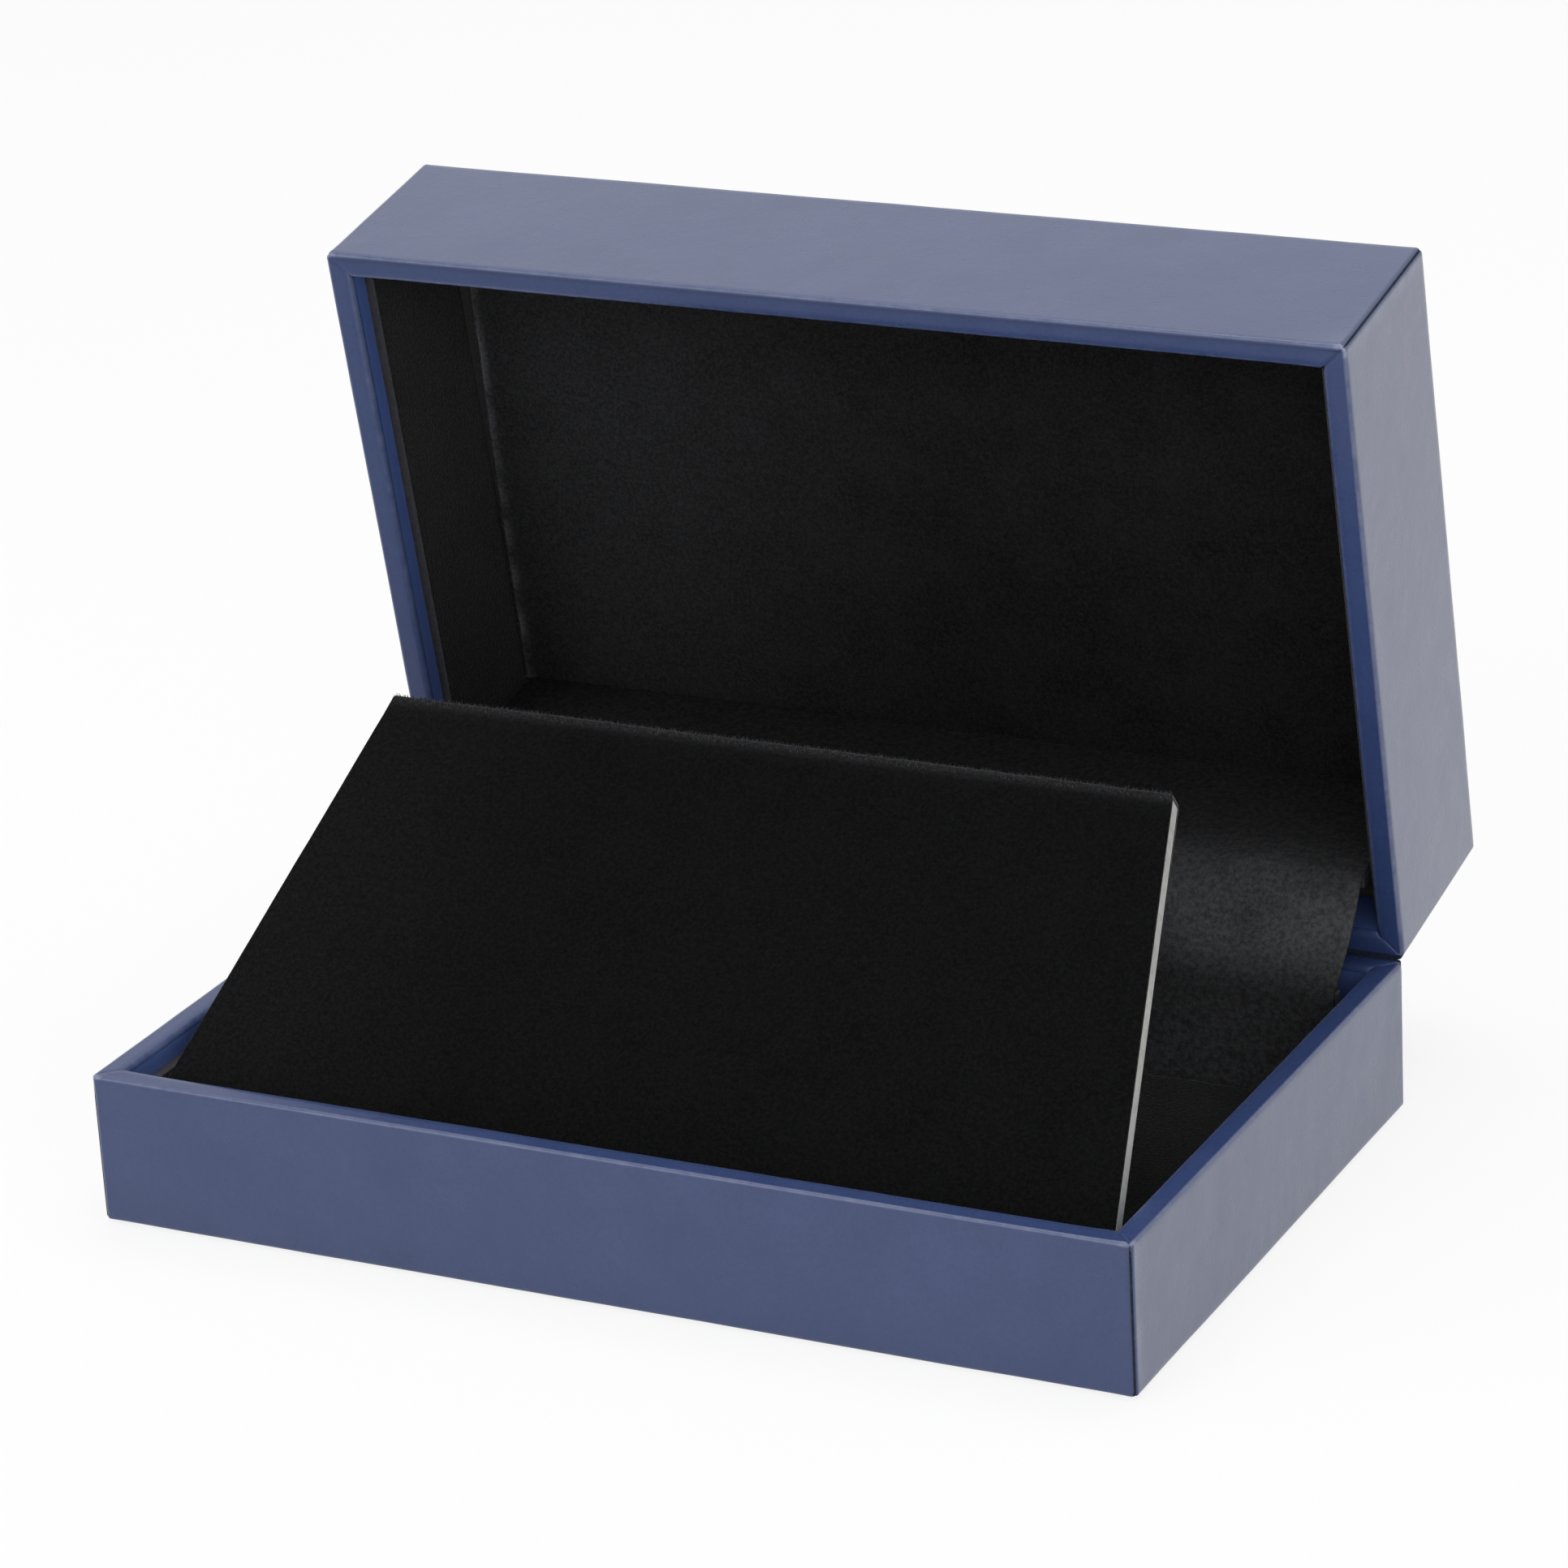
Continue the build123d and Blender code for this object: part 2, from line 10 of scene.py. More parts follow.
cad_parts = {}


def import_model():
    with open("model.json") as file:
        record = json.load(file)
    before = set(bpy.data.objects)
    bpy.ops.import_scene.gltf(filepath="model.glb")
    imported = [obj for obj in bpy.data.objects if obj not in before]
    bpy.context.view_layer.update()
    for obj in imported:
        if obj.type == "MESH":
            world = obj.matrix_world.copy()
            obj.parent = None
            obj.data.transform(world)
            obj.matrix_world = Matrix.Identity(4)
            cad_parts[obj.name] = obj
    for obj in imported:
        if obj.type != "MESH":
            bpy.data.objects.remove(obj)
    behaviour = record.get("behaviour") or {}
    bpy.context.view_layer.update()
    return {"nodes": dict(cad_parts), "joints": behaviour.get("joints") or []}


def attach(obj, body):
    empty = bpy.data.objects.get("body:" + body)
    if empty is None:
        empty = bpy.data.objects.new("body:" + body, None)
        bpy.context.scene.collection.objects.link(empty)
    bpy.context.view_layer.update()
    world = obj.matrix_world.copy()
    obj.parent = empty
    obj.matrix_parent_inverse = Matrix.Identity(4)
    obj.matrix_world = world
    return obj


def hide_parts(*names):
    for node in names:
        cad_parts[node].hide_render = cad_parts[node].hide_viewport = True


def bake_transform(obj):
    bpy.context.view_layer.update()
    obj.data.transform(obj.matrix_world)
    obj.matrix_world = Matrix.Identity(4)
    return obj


# Pin display case, shown open: blue leatherette over board, black velvet inside.
# Sizes and points are in millimetres, in the frame's directions, and every mesh is written
# in metres. Pieces of the lid, panel and leg are drawn shut or flat and then turned.
MM = 0.001

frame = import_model()
joints = {joint["name"]: joint for joint in frame["joints"]}

# Sizes that the frame doesn't give by itself, as in the CAD model
wrap_thickness = 0.3
velvet_thickness = 0.4
tape_thickness = 0.25
outer_corner_radius = 0.6
inner_corner_radius = 0.1
outer_edge_radius = 0.35
inner_edge_radius = 0.6
rear_edge_radius = 0.005
rear_lip = 0.156
wall = 2.5
turn_in_depth = 6.0
underside_margin = 6.0
panel_turn_under = 6.0
crease_tape_on_panel = 6.0
leg_tape_width = 5.0
ribbon_on_panel = 13.0
ribbon_on_leg = 13.0
ribbon_width = 10.0
cover_sag = 0.9

lid_angle = joints["lid_hinge"]["range_deg"][1]
panel_angle = -joints["panel_fold"]["range_deg"][0]
leg_swing = joints["leg_fold"]["range_deg"][1]


def joint_place(joint):
    return np.array(joints[joint]["pos_m"]) / MM


def mesh_points(mesh):
    return np.array([v.co for v in mesh.vertices]) / MM


# Turns between the drawn and the standing places
def turned(points, joint, degrees):
    """Points turned about a joint's line at rest."""
    centre = joint_place(joint)
    c = cos(radians(degrees))
    s = sin(radians(degrees))
    turn = np.array([[1, 0, 0], [0, c, -s], [0, s, c]])
    return (np.asarray(points, float) - centre) @ turn.T + centre


def open_lid(points):
    return turned(points, "lid_hinge", -lid_angle)


def shut_lid(points):
    return turned(points, "lid_hinge", lid_angle)


def raise_panel(points):
    return turned(points, "panel_fold", panel_angle)


def lower_panel(points):
    return turned(points, "panel_fold", -panel_angle)


def as_it_stands(points):
    return np.asarray(points, float)


def node_box(node, undo=as_it_stands):
    """Lowest and highest corner of a CAD node, once its turn is undone."""
    drawn = undo(mesh_points(frame["nodes"][node].data))
    return drawn.min(axis=0), drawn.max(axis=0)


# Meshes
SAME_POINT = 0.001
SMOOTH_ANGLE = 40


def placed(name, data):
    """A new object in the scene."""
    piece = bpy.data.objects.new(name, data)
    bpy.context.scene.collection.objects.link(piece)
    return piece


def new_piece(name, points, faces, material, edge_marks=None):
    """A mesh piece from points in millimetres, its faces turned outwards."""
    mesh = bpy.data.meshes.new(name)
    mesh.from_pydata((np.asarray(points) * MM).tolist(), [], faces)
    if edge_marks is not None:
        marks = mesh.attributes.new("edge", "FLOAT", "POINT")
        marks.data.foreach_set("value", np.asarray(edge_marks, np.float32))
    solid = bmesh.new()
    solid.from_mesh(mesh)
    bmesh.ops.remove_doubles(solid, verts=solid.verts, dist=SAME_POINT * MM)
    bmesh.ops.recalc_face_normals(solid, faces=solid.faces)
    solid.to_mesh(mesh)
    solid.free()
    mesh.polygons.foreach_set("use_smooth", [True] * len(mesh.polygons))
    mesh.set_sharp_from_angle(angle=radians(SMOOTH_ANGLE))
    mesh.materials.append(material)
    return placed(name, mesh)


def sheet_piece(name, front, back, material, marks=None, place=as_it_stands):
    """A closed sheet between two equal grids of points, with its front marked."""
    points, faces = closed_sheet(front, back)
    if marks is not None:
        marks = np.concatenate([marks.ravel(), np.zeros(marks.size)])
    return new_piece(name, place(points), faces, material, marks)


def spaced(length, step, near_ends):
    """Distances along a length, even in the middle and as named near both ends."""
    ends = [0.0, *near_ends]
    first = ends[-1]
    last = length - first
    count = max(1, round((last - first) / step))
    middle = [first + (last - first) * i / count for i in range(1, count)]
    return np.array(ends + middle + [length - end for end in reversed(ends)])


def grid_quads(first, rows, columns):
    """Faces of a grid of points that are numbered row by row from the first."""
    starts = [first + row * columns + k for row in range(rows - 1) for k in range(columns - 1)]
    return [(a, a + 1, a + columns + 1, a + columns) for a in starts]


def ring_quads(first, second, count):
    """Faces between two closed rings of points, each numbered on from its first."""
    pairs = [(k, (k + 1) % count) for k in range(count)]
    return [(first + k, first + n, second + n, second + k) for k, n in pairs]


def closed_sheet(front, back):
    """Points and faces of a closed sheet from two equal grids of points."""
    rows, columns = front.shape[:2]
    count = rows * columns
    points = np.concatenate([front.reshape(-1, 3), back.reshape(-1, 3)])
    faces = []
    for quad in grid_quads(0, rows, columns):
        faces.append(quad)
        faces.append(tuple(k + count for k in reversed(quad)))
    rim = list(range(columns))
    rim += [row * columns + columns - 1 for row in range(1, rows)]
    rim += [(rows - 1) * columns + column for column in range(columns - 2, -1, -1)]
    rim += [row * columns for row in range(rows - 2, 0, -1)]
    for a, b in zip(rim, rim[1:] + rim[:1]):
        faces.append((b, a, a + count, b + count))
    return points, faces


def edge_drop(distance, radius):
    """How far a rounded edge lies below its face, at a distance from the edge."""
    inside = np.clip(1 - distance / radius, 0, 1)
    return radius * (1 - np.sqrt(1 - inside ** 2))


def waves(points, length, seed):
    """Smooth noise from -1 to 1 with that wave length, at each point."""
    shift = Vector((seed * 17.3, seed * 5.1, seed * 9.7))
    return np.array([noise.noise(Vector(p) / length + shift) for p in points])


def ripple(value, length, line):
    """Smooth noise from -1 to 1 with that wave length, along one line."""
    return noise.noise(Vector((value / length, line, 0)))


def ripples(values, length, line):
    """The same noise at each value of a grid."""
    found = [ripple(value, length, line) for value in values.ravel()]
    return np.array(found).reshape(values.shape)


def hump(values, centre, width):
    """1 at the centre, and near 0 from about twice that width away."""
    return np.exp(-((values - centre) / width) ** 2)


# Trays: the leatherette follows one section round the outline, with mitred corners
CORNER_SIGNS = [(1, -1), (1, 1), (-1, 1), (-1, -1)]
CORNER_STEPS = 8
NEAR_CORNER = (0.1, 0.22, 0.4, 0.7, 1.1, 1.7)
SKIN_STEP = 1.6

# Strip along an edge in which wear, seams, painted highlights and painted shade show
EDGE_BAND = 0.5

# Folded mitres on the rims and lapped seams on the walls
MITRE_DEPTH = 0.13
FLAP_HEIGHT = 0.09
MITRE_REACH = 6
SEAM_DEPTH = 0.15
LAP_HEIGHT = 0.05
LAP_REACH = 8

# Marks of the painted shade line in the gap between the rims at the hinge, and the mark below which a face
# takes the dark material of bare cut edge, which is also used for that painted shade
HINGE_GAP_SHADE_MARK = -0.8
DARK_FACE_MARK = -0.55


class Tray:
    """Leatherette skin of a tray. Depths are from the rim plane towards the tray's bottom.

    Away is 1 where the bottom is above the rim, as in the shut lid, and -1 where it is below.
    """

    def __init__(self, node, undo, away):
        low, high = node_box(node, undo)
        self.half_width = (high[0] - low[0]) / 2
        self.half_depth = (high[1] - low[1]) / 2
        self.rim_z = high[2] if away < 0 else low[2]
        self.away = away
        self.height = high[2] - low[2]
        self.stations = []
        for side in range(4):
            length = 2 * (self.half_depth if side % 2 else self.half_width) - 2 * outer_corner_radius
            for along in spaced(length, SKIN_STEP, NEAR_CORNER)[1:-1]:
                self.stations.append((side, -90 + 90 * side, along / length))
            for k in range(CORNER_STEPS + 1):
                angle = -90 + 90 * side + 90 * k / CORNER_STEPS
                self.stations.append((side, angle, None))

    def corner_point(self, corner, angle, inset, sharp):
        radius = 0.0 if sharp else max(outer_corner_radius - inset, inner_corner_radius)
        sign_x, sign_y = CORNER_SIGNS[corner]
        x = sign_x * (self.half_width - inset - radius) + radius * cos(radians(angle))
        y = sign_y * (self.half_depth - inset - radius) + radius * sin(radians(angle))
        return np.array([x, y])

    def at_the_back(self, side, angle, share, tilt, inset, depth):
        """Section point on the rear rim, whose outer edge is squarer and a little higher.

        There the two rims' leatherette nearly meets, so that the open case lets no light
        through beside the hinges.
        """
        at_back = 1.0 if side == 2 and share is not None else max(0.0, sin(radians(angle)))
        at_back = min(1.0, 1.5 * at_back) if side in (1, 2) else 0.0
        if not 0 < tilt <= 90 or depth > outer_edge_radius:
            return inset, depth
        squarer = 1 - at_back * (1 - rear_edge_radius / outer_edge_radius)
        lift = rear_lip * at_back * max(0.0, 1 - inset / wall)
        if tilt < 90 or inset <= outer_edge_radius:
            inset = inset * squarer
            depth = depth * squarer
        return inset, depth - lift

    def ring(self, inset, depth, tilt, sharp=False):
        """Points and outward normals of the outline at one point of the section.

        The tilt is 0 where the section faces out of the tray's side, 90 where it faces out
        of the rim, 180 where it faces into the tray and 270 at the bottom's outside.
        """
        points = []
        normals = []
        plain = (inset, depth)
        for side, angle, share in self.stations:
            inset, depth = self.at_the_back(side, angle, share, tilt, *plain)
            if share is None:
                place = self.corner_point(side, angle, inset, sharp)
            else:
                start = self.corner_point((side + 3) % 4, angle, inset, sharp)
                end = self.corner_point(side, angle, inset, sharp)
                place = start + (end - start) * share
            points.append((*place, self.rim_z + self.away * depth))
            out = cos(radians(tilt))
            normals.append((
                out * cos(radians(angle)),
                out * sin(radians(angle)),
                -self.away * sin(radians(tilt)),
            ))
        return np.array(points), np.array(normals)

    def insets(self, points):
        """How far in each point is from the left or right side, and from the front or back."""
        return self.half_width - np.abs(points[:, 0]), self.half_depth - np.abs(points[:, 1])

    def from_rim(self, points):
        """How far each point is from the rim plane."""
        return np.abs(points[:, 2] - self.rim_z)


def tray_section(height):
    """The leatherette's outer side from the bottom edge, over the rim and down the inside.

    Each entry is the inset from the outside, the depth below the rim, the tilt, how much
    the edge is rubbed (below 0 on the bottom edge, as painted shade along the floor) and
    how much the corner folds show there.
    """
    r = outer_edge_radius
    section = [(1.6, height, 270, 0, 0), (0.8, height, 270, 0, 0)]
    for k in range(5):
        a = radians(90 - 22.5 * k)
        # Below 0 on the bottom edge: painted shade along the floor.
        wear_and_shade = -0.4 * sin(pi * k / 4)
        section.append((r - r * cos(a), height - r + r * sin(a), 270 + 22.5 * k, wear_and_shade, 0.5))
    for down in spaced(height - 2 * r, 1.5, (0.4,))[1:-1]:
        depth = height - r - down
        section.append((0, depth, 0, 0, max(0.5, 1 - depth / 4)))
    for k in range(5):
        a = radians(22.5 * k)
        wear_and_shade = sin(pi * k / 4)
        section.append((r - r * cos(a), r - r * sin(a), 22.5 * k, wear_and_shade, 1))
    for inset in (0.42, 0.52, 0.62, 0.9, 1.4, 1.9):
        section.append((inset, 0, 90, 0, 1))
    q = inner_edge_radius
    for k in range(4):
        a = radians(30 * k)
        wear_and_shade = sin(pi * k / 3)
        section.append((wall - q + q * sin(a), q - q * cos(a), 90 + 30 * k, wear_and_shade, 1))
    for depth in (0.6, 1.4, 2.4, 4.0, turn_in_depth):
        section.append((wall, depth, 180, 0, max(0, 1 - depth / 2)))
    return section


def seam_share(tray, points):
    """How much each point is in the lapped seam of the leatherette, close to the corners."""
    across, deep = tray.insets(points)
    in_seam = hump(across, 0.22, 0.12) * (deep < EDGE_BAND)
    return in_seam * np.clip(tray.from_rim(points) / 0.5 - 0.3, 0, 1)


def wear_and_painted_light(tray, points, wear_and_shade):
    """How much each point is rubbed, with painted highlight and shade: wear is most at the
    free rims' outer edges, hardly at the back.

    The lid's right rim edge and a band on the base's right face by its front corner get a
    painted highlight on top. A crease in the lid's front rim is painted shade below 0, and
    so is the hinge line, painted shade in the gap between the rims.
    """
    across, deep = tray.insets(points)
    from_rim = tray.from_rim(points)
    is_lid = tray.away > 0
    right = points[:, 0] > 0
    front = points[:, 1] < 0
    back = points[:, 1] > 0
    inner = wall + EDGE_BAND
    # Painted shade: a dark line in the gap between the rims at the hinge.
    hinge_gap_shade = back & (deep < EDGE_BAND) & (from_rim < 0.3)
    inside = (across > 1.2) & (deep < inner) | (deep > 1.2) & (across < inner)
    share = wear_and_shade * np.where(back & (deep < inner), 0.1, 1.0) * np.where(inside, 0.35, 1.0)
    # Painted highlight: the lid's right rim edge is made paler than wear alone would make it.
    right_rim_highlight = right & (across < EDGE_BAND) & (from_rim < EDGE_BAND)
    share = share * np.where(right_rim_highlight & is_lid, 1.7, 1.0)
    # Painted highlight: a soft pale band on the base's right face beside its front corner.
    corner_highlight = right & front & (across < 0.1) & (deep < 3)
    share = share + 0.35 * corner_highlight * hump(deep, 0.9, 0.8) * (wear_and_shade == 0)
    # Painted shade in a crease along the lid's front rim.
    front_rim_crease_shade = (from_rim < 0.1) & front & (across > 0.6)
    share = share - 0.35 * hump(deep, 0.52, 0.12) * front_rim_crease_shade * is_lid
    return np.where(hinge_gap_shade, HINGE_GAP_SHADE_MARK, share)


def skin_relief(tray, points, folds, seed):
    """How far the glued leatherette stands off its even surface."""
    relief = 0.05 * waves(points, 16, seed) + 0.018 * waves(points, 4.5, seed + 1)
    across, deep = tray.insets(points)
    from_mitre = (across - deep) / np.sqrt(2)
    in_corner = (across < MITRE_REACH) & (deep < MITRE_REACH)
    groove = -MITRE_DEPTH * hump(from_mitre, 0, 0.16)
    flap = FLAP_HEIGHT * np.exp(-np.abs(from_mitre) / 1.6) * (from_mitre > 0.1)
    on_rim = tray.from_rim(points) < 1.2
    at_front = np.where(points[:, 1] < 0, 1.0, 0.25)
    relief += np.where(in_corner & on_rim, (groove + flap) * folds * at_front, 0)
    seam = -SEAM_DEPTH * seam_share(tray, points)
    lap = LAP_HEIGHT * np.exp(-np.abs(across - 0.6) / 1.2) * (across > 0.55)
    on_wall = (deep < EDGE_BAND) & (across < LAP_REACH)
    relief += np.where(on_wall, (seam + lap) * np.minimum(folds, 1), 0)
    return relief


def tray_skin(tray, whole_bottom, seed):
    """Points, faces and marks of a closed skin: above 0 where rubbed and where a highlight is painted,
    below 0 in seams and where shade is painted.
    """
    height = tray.height
    section = tray_section(height)
    if not whole_bottom:
        section = [(underside_margin, height, 270, 0, 0), (3.2, height, 270, 0, 0)] + section
    rings = []
    marks = []
    for inset, depth, tilt, wear_and_shade, folds in section:
        points, normals = tray.ring(inset, depth, tilt)
        relief = skin_relief(tray, points, folds, seed)
        rear_edge = (points[:, 1] > tray.half_depth - 0.8) & (tray.from_rim(points) < 0.4)
        relief = np.where(rear_edge, 0, relief)
        rings.append(points + normals * relief[:, None])
        marks.append(wear_and_painted_light(tray, points, wear_and_shade) - seam_share(tray, points) * min(1, 2 * folds))
    hidden = [
        (wall - wrap_thickness, turn_in_depth),
        (wall - wrap_thickness, wrap_thickness),
        (wrap_thickness, wrap_thickness),
        (wrap_thickness, height - wrap_thickness),
    ]
    if not whole_bottom:
        hidden.append((underside_margin, height - wrap_thickness))
    for inset, depth in hidden:
        points = tray.ring(inset, depth, 0)[0]
        rings.append(points)
        marks.append(np.zeros(len(points)))
    count = len(tray.stations)
    pairs = list(zip(range(len(rings) - 1), range(1, len(rings))))
    if not whole_bottom:
        pairs.append((len(rings) - 1, 0))
    faces = []
    for a, b in pairs:
        faces += ring_quads(a * count, b * count, count)
    points = np.concatenate(rings)
    marks = np.concatenate(marks)
    if whole_bottom:
        for depth, ring_index, relieved in (
            (height, 0, True),
            (height - wrap_thickness, len(rings) - 1, False),
        ):
            points, marks, faces = close_bottom(
                tray, points, marks, faces, depth, ring_index, relieved, seed)
    return points, faces, marks


def close_bottom(tray, points, marks, faces, depth, ring_index, relieved, seed):
    """Fills the bottom inside one ring with a grid whose rim meets the ring's corners."""
    inset = 2.4
    count = len(tray.stations)
    rim = tray.ring(inset, depth, 270, sharp=True)[0]
    across = sorted({round(x, 5) for x in rim[:, 0]})
    deep = sorted({round(y, 5) for y in rim[:, 1]})
    grid_x, grid_y = np.meshgrid(across, deep, indexing="ij")
    flat = np.stack([grid_x, grid_y, np.full(grid_x.shape, rim[0, 2])], axis=-1).reshape(-1, 3)
    if relieved:
        up = np.array([0, 0, tray.away])
        rim = rim + up * skin_relief(tray, rim, 0, seed)[:, None]
        flat = flat + up * skin_relief(tray, flat, 0, seed)[:, None]
    start = len(points)
    points = np.concatenate([points, rim, flat])
    marks = np.concatenate([marks, np.zeros(len(rim) + len(flat))])
    faces += ring_quads(ring_index * count, start, count)
    faces += grid_quads(start + count, len(across), len(deep))
    return points, marks, faces


def cut_boxes(piece, boxes):
    """Takes boxes, given as two corners in millimetres, out of a piece."""
    cutters = []
    for low, high in boxes:
        cutter = bpy.data.meshes.new("cutter")
        solid = bmesh.new()
        bmesh.ops.create_cube(solid, size=1)
        middle = Vector((np.array(low) + np.array(high)) / 2 * MM)
        size = Vector((np.array(high) - np.array(low)) * MM)
        solid.transform(Matrix.Translation(middle) @ Matrix.Diagonal(size).to_4x4())
        solid.to_mesh(cutter)
        solid.free()
        cutters.append(placed("cutter", cutter))
        cut = piece.modifiers.new("cut", "BOOLEAN")
        cut.operation = "DIFFERENCE"
        cut.solver = "EXACT"
        cut.object = cutters[-1]
    bpy.context.view_layer.update()
    shown = piece.evaluated_get(bpy.context.evaluated_depsgraph_get())
    made = bpy.data.meshes.new_from_object(shown)
    piece.modifiers.clear()
    piece.data = made
    for cutter in cutters:
        bpy.data.objects.remove(cutter)


def move_points(piece, place):
    """Turns a piece's mesh from its drawn place to where it stands."""
    mesh = piece.data
    points = place(mesh_points(mesh))
    mesh.vertices.foreach_set("co", (points * MM).astype(np.float32).ravel())
    mesh.update()


# Bands of cloth that follow a side-view path
ARC_POINTS = 5
NEAR_EDGE = (0.05, 0.12, 0.22, 0.4)


def unit(vector):
    return vector / np.linalg.norm(vector)


def rounded_path(corners, radii, step):
    """Side-view points along straight runs and the arcs between them."""
    corners = [np.array(corner, float) for corner in corners]
    path = [corners[0]]
    for before, corner, after, radius in zip(corners, corners[1:], corners[2:], radii):
        into = unit(corner - before)
        out = unit(after - corner)
        angle = acos(max(-1.0, min(1.0, float(into @ out))))
        side = 1 if into[0] * out[1] - into[1] * out[0] > 0 else -1
        start = corner - into * radius * tan(angle / 2)
        centre = start + side * radius * np.array([-into[1], into[0]])
        for k in range(ARC_POINTS + 1):
            a = side * angle * k / ARC_POINTS
            spoke = start - centre
            path.append(centre + np.array([
                spoke[0] * cos(a) - spoke[1] * sin(a),
                spoke[0] * sin(a) + spoke[1] * cos(a),
            ]))
    path.append(corners[-1])
    filled = [path[0]]
    for point in path[1:]:
        run = point - filled[-1]
        count = max(1, round(np.linalg.norm(run) / step))
        begin = filled[-1]
        filled += [begin + run * k / count for k in range(1, count + 1)]
    return np.array(filled)


def along_path(path):
    runs = np.linalg.norm(np.diff(path, axis=0), axis=1)
    return np.concatenate([[0], np.cumsum(runs)])


def path_normals(path):
    """Unit normals on the right-hand side of the path's direction."""
    tangents = np.gradient(path, axis=0)
    tangents /= np.linalg.norm(tangents, axis=1)[:, None]
    return np.stack([tangents[:, 1], -tangents[:, 0]], axis=1)


def band_grids(path, half_widths, thickness, step, edge_radius, relief=None):
    """Front and back grids of a band. The front is on the right of the path."""
    normals = path_normals(path)
    along = along_path(path)
    widest = max(half_widths)
    shares = spaced(2 * widest, step, NEAR_EDGE) / widest - 1
    x = np.outer(half_widths, shares)
    side_gap = np.asarray(half_widths)[:, None] * (1 - np.abs(shares))[None, :]
    end_gap = np.minimum(along, along[-1] - along)[:, None]
    drop = edge_drop(np.minimum(side_gap, end_gap), edge_radius)
    y, z = [np.repeat(path[:, k:k + 1], x.shape[1], 1) for k in (0, 1)]
    base = np.stack([x, y, z], axis=-1)
    out = np.zeros(base.shape)
    out[..., 1] = normals[:, 0][:, None]
    out[..., 2] = normals[:, 1][:, None]
    raised = -drop
    if relief is not None:
        raised = raised + relief(base)
    return base + out * raised[..., None], base - out * thickness


def nap(points, seed, slow=0.05, fine=0.02):
    """Uneven height of velvet pile over a grid of points."""
    flat = points.reshape(-1, 3)
    heights = slow * waves(flat, 9, seed) + fine * waves(flat, 1.3, seed + 3)
    return heights.reshape(points.shape[:-1])


def lining_grids(low, high, axis, side, step, edge_radius, seed):
    """Front and back grids of a flat lining that fills a box, facing along one axis."""
    u, v = [k for k in range(3) if k != axis]
    us = low[u] + spaced(high[u] - low[u], step, NEAR_EDGE)
    vs = low[v] + spaced(high[v] - low[v], step, NEAR_EDGE)
    grid_u, grid_v = np.meshgrid(us, vs, indexing="ij")
    front = np.zeros(grid_u.shape + (3,))
    front[..., u] = grid_u
    front[..., v] = grid_v
    back = front.copy()
    front[..., axis] = high[axis] if side > 0 else low[axis]
    back[..., axis] = low[axis] if side > 0 else high[axis]
    gap = np.minimum.reduce([grid_u - low[u], high[u] - grid_u, grid_v - low[v], high[v] - grid_v])
    relief = nap(front, seed, 0.04) * np.clip(gap / 0.5, 0, 1) - edge_drop(gap, edge_radius)
    front[..., axis] += side * relief
    return front, back


def fibres(roots, directions, length, width, spread, seed):
    """Points and faces of short closed hairs, each leaning its own way from its root."""
    draw = random.Random(seed)
    points = []
    faces = []
    for root, direction in zip(roots, directions):
        lean = Vector([draw.gauss(0, spread) for _ in range(3)])
        way = (Vector(direction).normalized() + lean).normalized()
        across = way.orthogonal().normalized()
        other = way.cross(across)
        long = length * draw.uniform(0.5, 1.15)
        bend = (across * draw.uniform(-0.4, 0.4) + other * draw.uniform(-0.4, 0.4)) * long
        foot = Vector(root) - way * width
        middle = foot + way * long * 0.6
        tip = foot + way * long + bend
        start = len(points)
        for centre, size in ((foot, width), (middle, width * 0.8)):
            for k in range(3):
                a = 2 * pi * k / 3
                points.append(tuple(centre + (across * cos(a) + other * sin(a)) * size / 2))
        points.append(tuple(tip))
        faces.append((start, start + 1, start + 2))
        for k in range(3):
            n = (k + 1) % 3
            faces.append((start + k, start + n, start + 3 + n, start + 3 + k))
            faces.append((start + 3 + k, start + 3 + n, start + 6))
    return points, faces


# Materials
class Nodes:
    """A node tree in the making."""

    def __init__(self, tree):
        self.nodes = tree.nodes
        self.links = tree.links

    def join(self, source, target):
        self.links.new(source, target)

    def new(self, kind, **inputs):
        """A node of that kind with those numbers or colours on its inputs."""
        node = self.nodes.new(kind)
        for name, value in inputs.items():
            node.inputs[name].default_value = value
        return node

    def feed(self, socket, value):
        """Puts a number or colour on a socket, or joins another node's output to it."""
        if isinstance(value, (int, float)):
            socket.default_value = value
        elif isinstance(value, tuple):
            socket.default_value = (*value, 1)
        else:
            self.join(value, socket)

    def maths(self, operation, first, second):
        node = self.nodes.new("ShaderNodeMath")
        node.operation = operation
        self.feed(node.inputs[0], first)
        self.feed(node.inputs[1], second)
        return node.outputs["Value"]

    def seen_by(self, *kinds):
        """1 for the camera's rays and those kinds, 0 for all others."""
        rays = self.nodes.new("ShaderNodeLightPath")
        seen = rays.outputs["Is Camera Ray"]
        for kind in kinds:
            seen = self.maths("MAXIMUM", seen, rays.outputs[kind])
        return seen

    def mix_to(self, output, share, first, second):
        """Joins a mix of two shaders to the tree's output, the second by that share."""
        mix = self.nodes.new("ShaderNodeMixShader")
        for socket, source in zip(mix.inputs, (share, first, second)):
            self.join(source, socket)
        self.join(mix.outputs["Shader"], self.nodes[output].inputs["Surface"])


